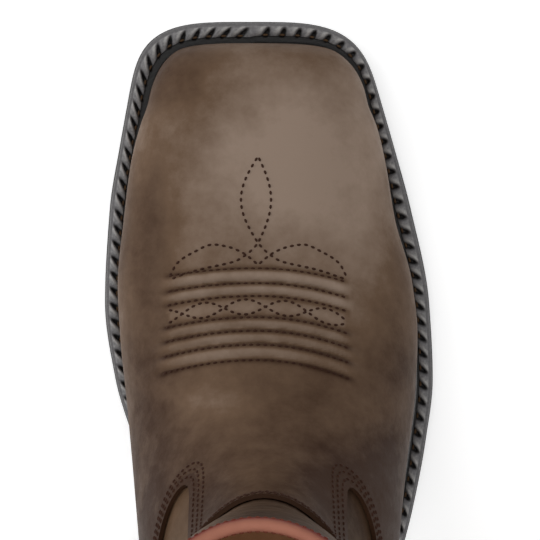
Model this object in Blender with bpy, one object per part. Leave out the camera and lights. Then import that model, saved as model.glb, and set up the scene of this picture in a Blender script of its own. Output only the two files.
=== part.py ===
"""Western work boot for the right foot: a pull-on with a wide square toe, a welted sole and a low block heel.

The toe points along -Y, the inner side of the foot is +X, and the boot stands on z = 0. Sizes here are in
millimetres, and every mesh is turned into metres when it is made. A place along the boot is given as
"ahead", the distance in front of the back of the counter, so the toe is at the large end.
"""

import math

import bmesh
import bpy
import numpy as np

MM = 0.001
for old in list(bpy.data.objects):
    bpy.data.objects.remove(old)

# Driving sizes
SOLE_TIP = 305.0
SOLE_BACK = -3.0
MIDDLE = (SOLE_TIP + SOLE_BACK) / 2
GAP = 0.3  # between pieces that meet
WALL = 2.4  # shaft leather and its lining together
VAMP_GAP, COUNTER_GAP = 0.4, 0.8  # under these overlays, which follow the upper's curves
OVERLAY_OUT = 1.9  # their outside, over the upper's: a leather 1.5 mm thick
INSOLE = 4.0
WELT_OUT, WELT_IN = 3.2, 4.6  # height of the welt at its outer edge and against the upper
HEEL_CAP = 7.0
HEEL_FRONT = 78.0
COLLAR_FRONT, COLLAR_SIDE, COLLAR_BACK = 250.0, 278.0, 258.0
BINDING = 4.2
STRAP_AHEAD = 76.0
STRAP_WIDTH = 27.0
STRAP_THICK = 2.2
STRAP_LEG = 42.0
LUG_PITCH, LUG_GROOVE, LUG_DEPTH = 16.0, 5.0, 3.0


def smooth(xs, ys, x):
    """A curve through the points (xs, ys) that never overshoots them, read at x. xs go up."""
    xs, ys, x = (np.asarray(v, float) for v in (xs, ys, x))
    step = np.diff(xs)
    slope = np.diff(ys) / step
    tangent = np.zeros(len(xs))
    tangent[0], tangent[-1] = slope[0], slope[-1]
    product = slope[:-1] * slope[1:]
    total = np.where(product > 0, slope[:-1] + slope[1:], 1)
    tangent[1:-1] = np.where(product > 0, 2 * product / total, 0)
    i = np.clip(np.searchsorted(xs, x, side="right") - 1, 0, len(step) - 1)
    u = (np.clip(x, xs[0], xs[-1]) - xs[i]) / step[i]
    return (
        ys[i] * (1 + 2 * u) * (1 - u) ** 2
        + ys[i + 1] * u**2 * (3 - 2 * u)
        + step[i] * u * (1 - u) * (tangent[i] * (1 - u) - tangent[i + 1] * u)
    )


def column(table, names, name, x):
    """A column of a table read at x, which runs along its first column."""
    rows = np.array(table, float)
    order = np.argsort(rows[:, 0])
    return smooth(rows[order, 0], rows[order, names.index(name)], x)


# Outline of the sole seen from above: half widths from the middle plane, the centre that its ends close
# on, how far inside it the upper's foot line runs, and the heights of the tread and of the outsole's top
SOLE_COLUMNS = ("ahead", "inner", "outer", "centre", "foot_inset", "tread", "top")
SOLE = [
    (-3, 36.0, 35.0, 1.4, 6.4, 29.5, 36.5),
    (30, 37.4, 36.0, 1.4, 6.4, 28.5, 35.5),
    (60, 37.0, 37.2, 1.4, 6.4, 27.2, 34.2),
    (85, 35.4, 39.2, 1.4, 6.8, 24.0, 31.5),
    (110, 35.6, 43.8, 1.4, 7.6, 16.5, 25.5),
    (135, 40.2, 50.4, 1.6, 8.6, 7.0, 17.8),
    (158, 47.4, 55.0, 2.0, 9.6, 1.0, 13.0),
    (180, 54.0, 57.6, 2.6, 10.0, 0.0, 12.0),
    (207, 57.7, 56.3, 3.4, 10.0, 0.0, 12.0),
    (240, 56.0, 49.8, 5.0, 10.0, 0.0, 12.0),
    (262, 52.4, 43.8, 6.0, 10.0, 1.6, 13.6),
    (277, 49.6, 39.4, 6.6, 10.4, 4.2, 16.0),
    (305, 44.2, 31.0, 6.6, 11.4, 11.0, 21.5),
]
TOE_ROUND, TOE_LENGTH, TOE_POWER, TOE_SHAPE = 277.0, 28.0, 4.0, 0.27
TOE_FILL = 0.009  # how much squarer the toe gets for each millimetre inside the sole's edge
MOST_FILL = 12.0
TAPER_BACK = {1: 0.2, -1: 0.6}  # share of the inset given back in width, since the sole tapers towards the tip
TAPER_FROM, TAPER_TO = 245.0, 295.0
HEEL_LENGTH, HEEL_POWER, HEEL_SHAPE = 33.0, 2.2, 0.46
FLAT_FROM, FLAT_TO = 180.0, 240.0


def sole(name, ahead):
    return column(SOLE, SOLE_COLUMNS, name, ahead)


def heel_close(share):
    """How far the half width has opened at a share of the way round the back of the heel."""
    return (1 - (1 - np.clip(share, 0, 1)) ** HEEL_POWER) ** HEEL_SHAPE


def outline(ahead, side, inset, heel=True):
    """(x, ahead) of the sole's outline moved inwards by inset. side is 1 for inner and -1 for outer."""
    ahead = np.asarray(ahead, float)
    eased = TAPER_BACK[side] * smooth([TAPER_FROM, TAPER_TO], [0, 1], ahead)
    half = sole("inner" if side > 0 else "outer", ahead) - inset * (1 - eased)
    centre = side * sole("centre", ahead)
    toe = np.clip((ahead - TOE_ROUND) / TOE_LENGTH, 0, 1)
    ends = (1 - toe**TOE_POWER) ** (TOE_SHAPE - TOE_FILL * np.clip(inset, 0, MOST_FILL))
    if heel:
        ends = ends * heel_close((ahead - SOLE_BACK) / HEEL_LENGTH)
    shift = inset * (1 - smooth([30, 85], [0, 1], ahead)) - inset * smooth([200, TOE_ROUND], [0, 1], ahead)
    return side * (centre + (half - centre) * ends), ahead + shift


def foot_line(ahead, side, offset=0.0, heel=True):
    """(x, ahead) where the upper stands on the outsole, moved out by offset."""
    return outline(ahead, side, sole("foot_inset", ahead) - offset, heel)


def foot_z(ahead):
    return sole("top", ahead) + GAP


# Sections of the upper over the foot line. Each lies in a plane through its foot points, at a place along
# the sole, and its front or top point. widest is the share of the way down where it is widest.
# (ahead, front_ahead, front_z, outer, inner, widest, top_power).
FOOT_SECTIONS = [
    (277, 267.5, 59.5, 35.6, 42.9, 0.60, 3.0),
    (262, 255.0, 61.8, 38.6, 46.0, 0.60, 2.8),
    (240, 236.0, 65.0, 41.8, 48.4, 0.60, 2.6),
    (215, 214.0, 71.0, 47.7, 50.4, 0.61, 2.4),
    (195, 197.0, 79.5, 49.4, 49.5, 0.63, 2.2),
    (172, 180.0, 91.0, 48.4, 47.3, 0.64, 2.1),
    (145, 166.0, 104.0, 45.4, 45.0, 0.62, 2.0),
    (110, 156.0, 117.5, 42.4, 42.4, 0.58, 2.0),
    (70, 150.5, 129.5, 38.4, 39.2, 0.55, 2.0),
    (32, 147.5, 139.0, 35.4, 37.0, 0.52, 2.0),
    (10, 146.3, 145.0, 34.6, 36.4, 0.51, 2.0),
    (-3, 145.6, 150.0, 34.6, 36.4, 0.50, 2.0),
]
# Sections of the ankle and the shaft, each through a point of the back seam and its front point
# (back_z, front_ahead, front_z, outer, inner, centre)
SHAFT_SECTIONS = [
    (62, 145.2, 157.0, 35.2, 37.2, 1.5),
    (90, 145.0, 167.0, 37.2, 39.2, 1.8),
    (122, 145.0, 181.0, 40.2, 42.4, 2.2),
    (155, 145.0, 198.0, 43.0, 45.8, 2.6),
    (190, 145.0, 218.0, 44.8, 48.4, 3.0),
    (230, 145.0, 240.0, 45.8, 50.4, 3.4),
    (265, 145.0, 265.0, 46.2, 51.4, 3.7),
    (310, 145.0, 310.0, 46.6, 52.4, 4.0),
]
# The back seam seen from the side, and how deep the upper is rounded behind
BACK_COLUMNS = ("z", "ahead", "round")
BACK = [
    (37, 3.4, 33),
    (47, 1.6, 33),
    (62, 0.3, 35),
    (90, 2.6, 42),
    (122, 6.2, 52),
    (155, 6.8, 62),
    (190, 4.8, 69),
    (230, 2.4, 72),
    (265, 1.0, 72),
    (310, 0.0, 72),
]
# The toe's front wall: how far the foot point is behind the sole's tip, then its front point as a distance
# behind the tip of the foot line and a height over it, and the bulge over the foot line at the sides
# (behind, front_behind, front_rise, bulge)
TOE_SECTIONS = [
    (0.0, 0.0, 0.0, 0.0),
    (0.12, -0.9, 6.0, 0.3),
    (0.6, -1.4, 13.0, 0.6),
    (1.8, -0.6, 20.5, 0.9),
    (4.0, 2.2, 26.8, 1.1),
    (8.0, 6.8, 31.4, 1.2),
    (14.0, 12.6, 34.4, 1.2),
    (20.0, 18.6, 36.2, 1.2),
]
TUCK_HIGH = 36.0  # greatest height over which the upper draws in to its foot line
TUCK_ARC = 0.8  # share of a quarter turn's rise that the tuck uses
ROW_NAMES = ("ahead", "back_z", "front_ahead", "front_z", "outer", "inner", "centre", "widest", "top_power")


def section_rows():
    """All the sections in one array, from the toe to above the collar, and how many stand on the foot line."""
    rows = []
    tip = float(foot_line(SOLE_TIP, 1)[1])
    for behind, front_behind, rise, bulge in TOE_SECTIONS:
        ahead = SOLE_TIP - behind
        inner = float(foot_line(ahead, 1)[0]) + bulge
        outer = -float(foot_line(ahead, -1)[0]) + bulge
        power = 2.2 + 0.8 * min(behind / 4, 1)
        centre = float(sole("centre", ahead))
        rows.append((ahead, 0, tip - front_behind, foot_z(tip) + rise, outer, inner, centre, 0.6, power))
    for ahead, front_ahead, front_z, outer, inner, widest, power in FOOT_SECTIONS:
        rows.append((ahead, 0, front_ahead, front_z, outer, inner, float(sole("centre", ahead)), widest, power))
    for back_z, front_ahead, front_z, outer, inner, centre in SHAFT_SECTIONS:
        rows.append((SOLE_BACK, back_z, front_ahead, front_z, outer, inner, centre, 0.5, 2.0))
    rows = np.array(rows, float)
    standing = rows[:, 1] == 0
    rows[standing, 1] = foot_z(foot_line(rows[standing, 0], 1)[1])
    return rows, int(standing.sum())


ROWS, STANDING = section_rows()


def row_places():
    """A running length for the rows, from the mean travel of their front and back points."""
    back = np.hypot(np.diff(ROWS[:, 0]), np.diff(ROWS[:, 1]))
    front = np.hypot(np.diff(ROWS[:, 2]), np.diff(ROWS[:, 3]))
    return np.concatenate([[0], np.cumsum((back + front) / 2 + 0.5)])


PLACES = row_places()
HEEL_PLACE = PLACES[STANDING - 1]  # the foot line ends here, at the back seam
STEPS = 60  # points down each side of a section
FINE_PLACES, CROSS_POINTS = 6000, 80
LEAST_HALF = 0.01


def ahead_of(place):
    return smooth(PLACES[:STANDING], ROWS[:STANDING, 0], place)


def place_of(ahead):
    places = np.linspace(0, HEEL_PLACE, FINE_PLACES)
    return float(np.interp(-ahead, -ahead_of(places), places))


def tuck(share):
    edge = math.sqrt(1 - TUCK_ARC**2)
    rise = np.sqrt(1 - ((1 - np.clip(share, 0, 1)) * TUCK_ARC) ** 2)
    return (rise - edge) / (1 - edge)


def section(place):
    """Both sides of the section at a place, outer then inner, each an array of (travel, x, ahead, z)."""
    values = {name: float(smooth(PLACES, ROWS[:, i], place)) for i, name in enumerate(ROW_NAMES)}
    standing = place <= HEEL_PLACE
    ahead = float(ahead_of(place)) if standing else SOLE_BACK
    foot_ahead = float(foot_line(ahead, 1)[1])
    back = (foot_ahead, float(foot_z(foot_ahead)))
    if not standing:
        back = (float(column(BACK, BACK_COLUMNS, "ahead", values["back_z"])), values["back_z"])
    front = (values["front_ahead"], values["front_z"])
    length = math.dist(front, back)
    down = (1 - np.cos(np.linspace(0, math.pi, STEPS))) / 2
    at = front[0] + down * (back[0] - front[0])
    z = front[1] + down * (back[1] - front[1])
    widest, power = values["widest"], values["top_power"]
    crown = (1 - (1 - np.minimum(down / widest, 1)) ** power) ** (1 / power)
    deep = column(BACK, BACK_COLUMNS, "round", z)
    behind = heel_close((at - column(BACK, BACK_COLUMNS, "ahead", z)) / deep)
    if standing:
        near = smooth([60, 110], [1, 0], ahead)
        behind = behind * near + (1 - near)
        behind[-1] = heel_close((ahead - SOLE_BACK) / HEEL_LENGTH)
    high = max(min((1 - widest) * length, TUCK_HIGH), 1)
    drawn = tuck((z - foot_z(at)) / high)
    sides = []
    for side, name in ((-1, "outer"), (1, "inner")):
        half = max(values[name] - side * values["centre"], LEAST_HALF)
        foot = max(side * float(foot_line(ahead, side, 0, False)[0]) - side * values["centre"], 0.0)
        out = (foot + (max(half, foot) - foot) * drawn) * crown * behind
        if not standing:
            out[-1] = 0.0
        travel = np.concatenate([[0], np.cumsum(np.hypot(np.diff(out), np.diff(down) * length))])
        sides.append(np.column_stack([travel, values["centre"] + side * out, at, z]))
    return sides


def skin_row(place, shares):
    """Points (x, ahead, z) at one place. A share runs from -1 at the outer foot line, over 0 at the front, to 1."""
    outer, inner = section(place)
    points = []
    for share in shares:
        side = outer if share < 0 else inner
        travel = abs(share) * side[-1, 0]
        points.append([np.interp(travel, side[:, 0], side[:, i]) for i in (1, 2, 3)])
    return points


FINE = 12  # dense rows for each row of the table
TABLE_PLACES = np.concatenate([np.linspace(a, b, FINE, endpoint=False) for a, b in zip(PLACES, PLACES[1:])])
TABLE_SHARES = np.linspace(-1, 1, 81)
FRONT_SHARE = len(TABLE_SHARES) // 2
MEAN_ROWS = 4
TABLE = np.array([skin_row(place, TABLE_SHARES) for place in TABLE_PLACES])


def table_normals():
    """Outward directions, each a mean over a few rows by area, since the rows crowd round the heel."""
    along, across = np.gradient(TABLE, axis=0), np.gradient(TABLE, axis=1)
    area = np.pad(np.cross(along, across), ((MEAN_ROWS, MEAN_ROWS), (0, 0), (0, 0)), "edge")
    normal = sum(area[k : k + len(TABLE)] for k in range(2 * MEAN_ROWS + 1))
    normal[0] = (0, 1, 0)
    closed = TABLE_PLACES >= HEEL_PLACE
    joined = normal[closed, 0] + normal[closed, -1]
    normal[closed, 0] = joined
    normal[closed, -1] = joined
    return normal / np.maximum(np.linalg.norm(normal, axis=2, keepdims=True), 1e-9)


NORMALS = table_normals()


def skin(places, shares, offset=0.0):
    """Points of the upper's outside, moved out by offset, at arrays of places and shares of one shape."""
    places, shares = np.broadcast_arrays(np.asarray(places, float), np.asarray(shares, float))
    row = np.clip(np.interp(places, TABLE_PLACES, np.arange(len(TABLE_PLACES))), 0, len(TABLE_PLACES) - 1.001)
    col = np.clip((shares + 1) / 2 * (len(TABLE_SHARES) - 1), 0, len(TABLE_SHARES) - 1.001)
    i, j = row.astype(int), col.astype(int)
    u, v = (row - i)[..., None], (col - j)[..., None]
    points = np.zeros(places.shape + (3,))
    for source, factor in ((TABLE, 1.0), (NORMALS, offset)):
        first = source[i, j] * (1 - v) + source[i, j + 1] * v
        second = source[i + 1, j] * (1 - v) + source[i + 1, j + 1] * v
        points += factor * (first * (1 - u) + second * u)
    for side in (-1, 1):
        edge = (np.abs(shares - side) < 1e-6) & (places <= HEEL_PLACE + 1e-6)
        x, at = foot_line(ahead_of(places[edge]), side, offset)
        points[edge] = np.column_stack([x, at, foot_z(at)])
    tip = ROWS[0, 2] + offset
    points[places < 1e-6] = (ROWS[0, 6], tip, foot_z(tip))
    return points


def side_x(ahead, z, side, offset=0.0):
    """x of the upper's outside at a place seen from the side."""
    half = TABLE[:, FRONT_SHARE:] if side > 0 else TABLE[:, FRONT_SHARE::-1]
    reach = [row for row in half if row[-1, 1] <= ahead <= row[0, 1]]
    xs = [np.interp(-ahead, -row[:, 1], row[:, 0]) for row in reach]
    zs = [np.interp(-ahead, -row[:, 1], row[:, 2]) for row in reach]
    return float(np.interp(z, zs, xs)) + side * offset


def collar_z(ahead):
    """Height of the collar in side view, with its dips at the front and the back."""
    heights = [COLLAR_BACK, COLLAR_BACK + 1, 272, COLLAR_SIDE, 266, 252, COLLAR_FRONT]
    return smooth([-2, 5, 42, 76, 112, 139, 147], heights, ahead)


STRETCH_FROM = float(PLACES[STANDING + 3])  # above this the rows lean to meet the collar
COLLAR_STEPS = 150


def collar_places(shares, drop):
    """For each share, the place where the upper's outside meets the collar line less the drop."""
    shares = np.asarray(shares, float)
    places = np.linspace(STRETCH_FROM, TABLE_PLACES[-1], COLLAR_STEPS)
    grid = skin(places[:, None], shares[None, :])
    above = grid[:, :, 2] - (collar_z(grid[:, :, 1]) - drop)
    return np.array([np.interp(0, above[:, i], places) for i in range(len(shares))])


TOE_STATIONS = [305, 304.88, 304.4, 303.2, 301, 297, 291, 284, 277]
HEEL_STATIONS = [24, 15, 8, 3, 0, -1.8, -2.7, -2.95, SOLE_BACK]
FOOT_STATIONS = TOE_STATIONS + list(np.linspace(265, 36, 17)) + HEEL_STATIONS
SHARES = np.linspace(-1, 1, 23)
SHELL_PLACES = [place_of(a) for a in FOOT_STATIONS] + list(np.linspace(HEEL_PLACE, STRETCH_FROM, 6)[1:])
SHAFT_ROWS = 4


def metres(point):
    """A point (x, ahead, z) in millimetres as world coordinates."""
    return (float(point[0]) * MM, (MIDDLE - float(point[1])) * MM, float(point[2]) * MM)


PARTS = bpy.data.collections.new("western_work_boot")
CUTTERS = bpy.data.collections.new("cutters")
for group in (PARTS, CUTTERS):
    bpy.context.scene.collection.children.link(group)


def material(name, colour, roughness, metallic=0.0):
    made = bpy.data.materials.new(name)
    made.use_nodes = True
    shader = made.node_tree.nodes["Principled BSDF"]
    shader.inputs["Base Color"].default_value = (*colour, 1)
    shader.inputs["Roughness"].default_value = roughness
    shader.inputs["Metallic"].default_value = metallic
    return made


def finish(name, bm, look, group=PARTS):
    bmesh.ops.remove_doubles(bm, verts=bm.verts, dist=0.00001)
    bmesh.ops.dissolve_degenerate(bm, edges=bm.edges, dist=0.000005)
    bmesh.ops.recalc_face_normals(bm, faces=bm.faces)
    mesh = bpy.data.meshes.new(name)
    bm.to_mesh(mesh)
    bm.free()
    made = bpy.data.objects.new(name, mesh)
    group.objects.link(made)
    if group is CUTTERS:
        made.hide_render = True
        made.display_type = "WIRE"
    else:
        mesh.materials.append(look)
        mesh.shade_smooth()
        mesh.set_sharp_from_angle(angle=math.radians(40))
    return made


def shell(name, places, low, high, look):
    """A closed wall between two offsets of the upper's outside, open along the foot line and at its last row."""
    bm = bmesh.new()
    shares = np.broadcast_to(SHARES, places.shape)
    out = [[bm.verts.new(metres(p)) for p in row] for row in skin(places, shares, high)]
    inn = [[bm.verts.new(metres(p)) for p in row] for row in skin(places, shares, low)]
    last, end = len(out) - 1, len(SHARES) - 1
    for i in range(last):
        for j in range(end):
            # Every wall has its quads split the same way, so that walls one outside the other stay clear
            for near in (out, inn):
                bm.faces.new((near[i][j], near[i][j + 1], near[i + 1][j + 1]))
                bm.faces.new((near[i][j], near[i + 1][j + 1], near[i + 1][j]))
        if places[i + 1][0] <= HEEL_PLACE + 1e-6:
            for j in (0, end):
                bm.faces.new((out[i][j], out[i + 1][j], inn[i + 1][j], inn[i][j]))
    for j in range(end):
        bm.faces.new((out[last][j], out[last][j + 1], inn[last][j + 1], inn[last][j]))
    return finish(name, bm, look)


def loft(name, rings, look, ends="flat", group=PARTS):
    """A solid through closed rings of points (x, ahead, z). ends is flat, flat last where the first ring lies
    on one line, drawn where both end rings do, or round where the rings close on themselves."""
    bm = bmesh.new()
    made = [[bm.verts.new(metres(p)) for p in ring] for ring in rings]
    pairs = list(zip(made, made[1:]))
    if ends == "round":
        pairs.append((made[-1], made[0]))
    for first, second in pairs:
        for j in range(len(first)):
            k = (j + 1) % len(first)
            bm.faces.new((first[j], first[k], second[k], second[j]))
    if ends in ("flat", "flat last"):
        bm.faces.new(made[-1])
    if ends == "flat":
        bm.faces.new(made[0][::-1])
    return finish(name, bm, look, group)


def boolean(target, cutter, operation):
    change = target.modifiers.new(operation.lower() + "_" + cutter.name, "BOOLEAN")
    change.operation = operation
    change.solver = "EXACT"
    change.object = cutter


# Upper: shaft and lining in one hollow wall, from the foot line to the collar
def upper_places(drop):
    ends = collar_places(SHARES, drop)
    rows = [[place] * len(SHARES) for place in SHELL_PLACES]
    for k in range(1, SHAFT_ROWS + 1):
        rows.append(list(STRETCH_FROM + (ends - STRETCH_FROM) * k / SHAFT_ROWS))
    return np.array(rows)


SHAFT_LEATHER = material("dark_brown_leather", (0.11, 0.078, 0.056), 0.6)
shell("upper", upper_places(BINDING + GAP), -WALL, 0.0, SHAFT_LEATHER)

# Vamp and counter: cut from one overlay that follows the upper. Their top lines are seen from the side, as
# (ahead, z), and meet at the side seam.
CUT_WIDE = 90.0
SEAM_GAP = 0.6
SEAM_FOOT, SEAM_TOP = 101.0, 92.0
WING_LINE = [(SEAM_TOP, 89.5), (105, 92.5), (120, 97.5), (133, 102.3), (143, 105.8), (151, 108.6), (158, 111)]
COUNTER_LINE = [(SEAM_TOP - SEAM_GAP, 88.5), (76, 92), (60, 97), (45, 102.5), (30, 108), (15, 113), (0, 116.5)]
BEHIND, BEFORE = -12, 340  # clear of the boot
# The tongue's edge seen from the front, as (z, half width)
TONGUE_LINE = [(96, 34), (104, 27), (110, 25), (118, 24.3), (130, 24.3), (142, 24.6), (149.4, 25.2)]
TONGUE_CROWN = [(151.3, 20), (152.8, 10), (153.2, 0)]
TONGUE_CENTRE = 0.3
TONGUE_BEHIND, TONGUE_BEFORE = 108, 200


def side_cutter(name, line):
    rings = [[(x, ahead, z) for ahead, z in line] for x in (-CUT_WIDE, CUT_WIDE)]
    return loft(name, rings, None, group=CUTTERS)


def tongue_cutter():
    edge = TONGUE_LINE + TONGUE_CROWN
    edge += [(z, -half) for z, half in edge[-2::-1]]
    rings = [[(TONGUE_CENTRE + x, ahead, z) for z, x in edge] for ahead in (TONGUE_BEHIND, TONGUE_BEFORE)]
    return loft("tongue_cutter", rings, None, group=CUTTERS)


VAMP_LEATHER = material("oiled_brown_leather", (0.155, 0.105, 0.075), 0.55)
COUNTER_LEATHER = material("counter_brown_leather", (0.13, 0.09, 0.065), 0.55)
OVERLAY_PLACES = np.array([[place] * len(SHARES) for place in SHELL_PLACES])
vamp = shell("vamp", OVERLAY_PLACES, VAMP_GAP, OVERLAY_OUT, VAMP_LEATHER)
vamp_cut = side_cutter("vamp_cutter", [(SEAM_FOOT, 0), *WING_LINE, (BEFORE, WING_LINE[-1][1]), (BEFORE, 0)])
boolean(vamp_cut, tongue_cutter(), "UNION")
boolean(vamp, vamp_cut, "INTERSECT")
counter = shell("counter", OVERLAY_PLACES, COUNTER_GAP, OVERLAY_OUT, COUNTER_LEATHER)
counter_edge = [(SEAM_FOOT - SEAM_GAP, 0), *COUNTER_LINE, (BEHIND, COUNTER_LINE[-1][1]), (BEHIND, 0)]
boolean(counter, side_cutter("counter_cutter", counter_edge), "INTERSECT")

# Outsole: up its side a foot set in, the edge, a groove, and the upper layer, as (inset, share of the height)
SOLE_RUBBER = material("charcoal_rubber", (0.05, 0.047, 0.047), 0.75)
SOLE_STATIONS = sorted(set(FOOT_STATIONS) | {FLAT_FROM, FLAT_TO}, reverse=True)
SOLE_SIDE = [(2.2, 0), (0.4, 0.16), (0.0, 0.44), (0.9, 0.5), (0.9, 0.58), (0.0, 0.64), (0.0, 1)]


def make_outsole():
    rings = []
    for ahead in SOLE_STATIONS:
        ring = []
        for side, points in ((1, SOLE_SIDE), (-1, SOLE_SIDE[::-1])):
            for inset, share in points:
                x, at = outline(ahead, side, inset)
                low, high = float(sole("tread", at)), float(sole("top", at))
                ring.append((x, at, low + (high - low) * share))
        rings.append(ring)
    return loft("outsole", rings, SOLE_RUBBER, "drawn")


def groove_cutter(name, places, low):
    """Cross grooves of the tread as one cutter. low gives the tread's height at a place."""
    bm = bmesh.new()
    for ahead in places:
        made = bmesh.ops.create_cube(bm, size=1.0)["verts"]
        bmesh.ops.scale(bm, vec=(2 * CUT_WIDE * MM, LUG_GROOVE * MM, 2 * LUG_DEPTH * MM), verts=made)
        bmesh.ops.translate(bm, vec=metres((0, ahead, low(ahead))), verts=made)
    return finish(name, bm, None, CUTTERS)


FOREFOOT_GROOVES = np.arange(154, 290, LUG_PITCH)
HEEL_GROOVES = np.arange(20, 60, LUG_PITCH + 2)
outsole = make_outsole()
boolean(outsole, groove_cutter("forefoot_grooves", FOREFOOT_GROOVES, lambda a: float(sole("tread", a))), "DIFFERENCE")

# Heel: a block under the heel seat and the cap that it stands on, both leaning in towards the ground
HEEL_INSET, HEEL_LEAN, BREAST_LEAN = 1.2, 2.6, 2.0


def heel_block(name, low, high, look):
    """A block between two heights. A height of None follows the outsole's underside."""
    rings = []
    for ahead in [a for a in SOLE_STATIONS[::-1] if a < HEEL_FRONT - 6] + [HEEL_FRONT]:
        ring = []
        for side, ends in ((1, (low, high)), (-1, (high, low))):
            for z in ends:
                seat = float(sole("tread", ahead + HEEL_INSET)) - GAP
                down = 0 if z is None else 1 - z / seat
                x, at = outline(ahead, side, HEEL_INSET + HEEL_LEAN * down)
                if ahead == HEEL_FRONT:
                    at = HEEL_FRONT - BREAST_LEAN * down
                ring.append((x, at, float(sole("tread", at)) - GAP if z is None else z))
        rings.append(ring)
    return loft(name, rings, look, "flat last")


heel_block("heel", HEEL_CAP + GAP, None, material("stacked_heel", (0.075, 0.06, 0.05), 0.65))
cap = heel_block("heel_cap", 0.0, HEEL_CAP, SOLE_RUBBER)
boolean(cap, groove_cutter("heel_grooves", HEEL_GROOVES, lambda a: 0.0), "DIFFERENCE")

# Welt: a ring on the outsole round the vamp and the counter, higher against them. Its section is given as
# (share of the way out, height).
WELT_SECTION = [(0, 0), (1, 0), (1, WELT_OUT), (0.45, WELT_OUT + 0.3), (0.25, WELT_IN), (0, WELT_IN)]
WELT_EDGE = 0.5  # inset of the welt's outer edge
LEAST_BULGE = 1.0
LOW_SHARE, WELT_CLEAR = 0.6, 0.5  # how far up a section is read, and the height over the welt that is kept clear
BULGE_FROM, BULGE_TO = 30, 277  # the ends of the foot bulge as their nearest sides do


def bulge(ahead, side):
    """How far the overlay reaches out over its foot line within the welt's height."""
    place = place_of(min(max(ahead, BULGE_FROM), BULGE_TO))
    row = skin(np.full(CROSS_POINTS, place), side * np.linspace(1, LOW_SHARE, CROSS_POINTS), OVERLAY_OUT)
    low = row[row[:, 2] <= row[0, 2] + WELT_IN + WELT_CLEAR]
    return max(float(np.max(side * (low[:, 0] - low[0, 0]))), LEAST_BULGE)


def make_welt():
    rings = []
    stations = [(a, 1) for a in SOLE_STATIONS] + [(a, -1) for a in SOLE_STATIONS[-2:0:-1]]
    for ahead, side in stations:
        inner = np.array(foot_line(ahead, side, OVERLAY_OUT + GAP + bulge(ahead, side)))
        outer = np.array(outline(ahead, side, WELT_EDGE))
        ring = []
        for share, rise in WELT_SECTION:
            x, at = inner + (outer - inner) * share
            ring.append((x, at, float(foot_z(at)) + rise))
        rings.append(ring)
    return loft("welt", rings, material("grey_brown_welt", (0.13, 0.115, 0.11), 0.6), "round")


make_welt()

# Insole: a board on the outsole inside the upper's wall
INSOLE_INSET = WALL + 1.6


def make_insole():
    rings = []
    for ahead in SOLE_STATIONS:
        ring = []
        for side, rises in ((1, (0, INSOLE)), (-1, (INSOLE, 0))):
            for rise in rises:
                x, at = foot_line(ahead, side, -INSOLE_INSET)
                ring.append((x, at, float(foot_z(at)) + rise))
        rings.append(ring)
    return loft("insole", rings, material("insole_board", (0.2, 0.13, 0.08), 0.85), "drawn")


make_insole()

# Collar binding: a tan bead along the top of the wall, its section as (distance out, rise)
TAN_LEATHER = material("tan_lining_leather", (0.42, 0.2, 0.12), 0.6)
BEAD = [(-2.1, 0), (2.1, 0), (2.1, 2.2), (1.3, 3.7), (0, BINDING), (-1.3, 3.7), (-2.1, 2.2)]
BEAD_SHARES = np.linspace(-1, 1, 41)[:-1]


def collar_bead():
    places = collar_places(BEAD_SHARES, BINDING)
    middle = skin(places, BEAD_SHARES, -WALL / 2)
    outward = skin(places, BEAD_SHARES, WALL) - middle
    outward[:, 2] = 0
    outward /= np.linalg.norm(outward, axis=1, keepdims=True)
    rings = []
    for point, away in zip(middle, outward):
        base = float(collar_z(point[1])) - BINDING
        rings.append([(point[0] + away[0] * d, point[1] + away[1] * d, base + rise) for d, rise in BEAD])
    return loft("collar_binding", rings, TAN_LEATHER, "round")


collar_bead()

# Piping: a half-round bead over each side seam, from the vamp's corner to the pull strap
PIPING_FOOT = 91.5
PIPING_HEAD = COLLAR_SIDE - STRAP_LEG - 2
PIPE = [(-1.9, 0.35), (-1.3, 1.3), (0, 1.8), (1.3, 1.3), (1.9, 0.35)]


def seam_ahead(z):
    """The side seam in side view."""
    return float(smooth([60, PIPING_FOOT, 140, 200, COLLAR_SIDE], [96, SEAM_TOP, 84, 78, STRAP_AHEAD], z))


def piping(name, side):
    rings = []
    for z in np.linspace(PIPING_FOOT, PIPING_HEAD, 12):
        ahead = seam_ahead(z)
        rings.append([(side_x(ahead + across, z, side, out), ahead + across, z) for across, out in PIPE])
    return loft(name, rings, SHAFT_LEATHER)


# Pull straps: up from the outside of the shaft, in a loop over the collar, and down inside. The path gives
# the distance out from the middle of the wall and the height over the collar.
STRAP_PATH = [(2.8, -STRAP_LEG), (3.0, -20), (3.7, -5), (4.2, 1), (5.9, 6.5), (6.1, 12), (4.4, 17), (0, 19.4)]
STRAP_PATH += [(-out, rise) for out, rise in STRAP_PATH[-2::-1]]


def pull_strap(name, side):
    path = np.array(STRAP_PATH)
    along = np.gradient(path, axis=0)
    along /= np.linalg.norm(along, axis=1, keepdims=True)
    rings = []
    for (out, rise), (run_out, run_rise) in zip(path, along):
        z = COLLAR_SIDE + rise
        ring = []
        for face, widths in ((0.5, np.linspace(-0.5, 0.5, 5)), (-0.5, np.linspace(0.5, -0.5, 5))):
            for width in widths:
                ahead = STRAP_AHEAD + STRAP_WIDTH * width
                wall = side_x(ahead, min(z, COLLAR_SIDE), side, -WALL / 2)
                thick = STRAP_THICK * face
                ring.append((wall + side * (out + run_rise * thick), ahead, z - run_out * thick))
        rings.append(ring)
    return loft(name, rings, COUNTER_LEATHER)


for side, word in ((1, "inner"), (-1, "outer")):
    piping("piping_" + word, side)
    pull_strap("pull_strap_" + word, side)
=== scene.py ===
"""Looks of a western work boot for the right foot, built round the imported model.

Lengths are in millimetres until a mesh is made. A place along the boot is its distance ahead of the back of
the counter, so the toe is at the large end. The toe points along -Y and the inner side of the foot is +X.
"""

import math

import bmesh
import bpy
import numpy as np
from mathutils import Matrix, Vector
from mathutils.bvhtree import BVHTree


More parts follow.
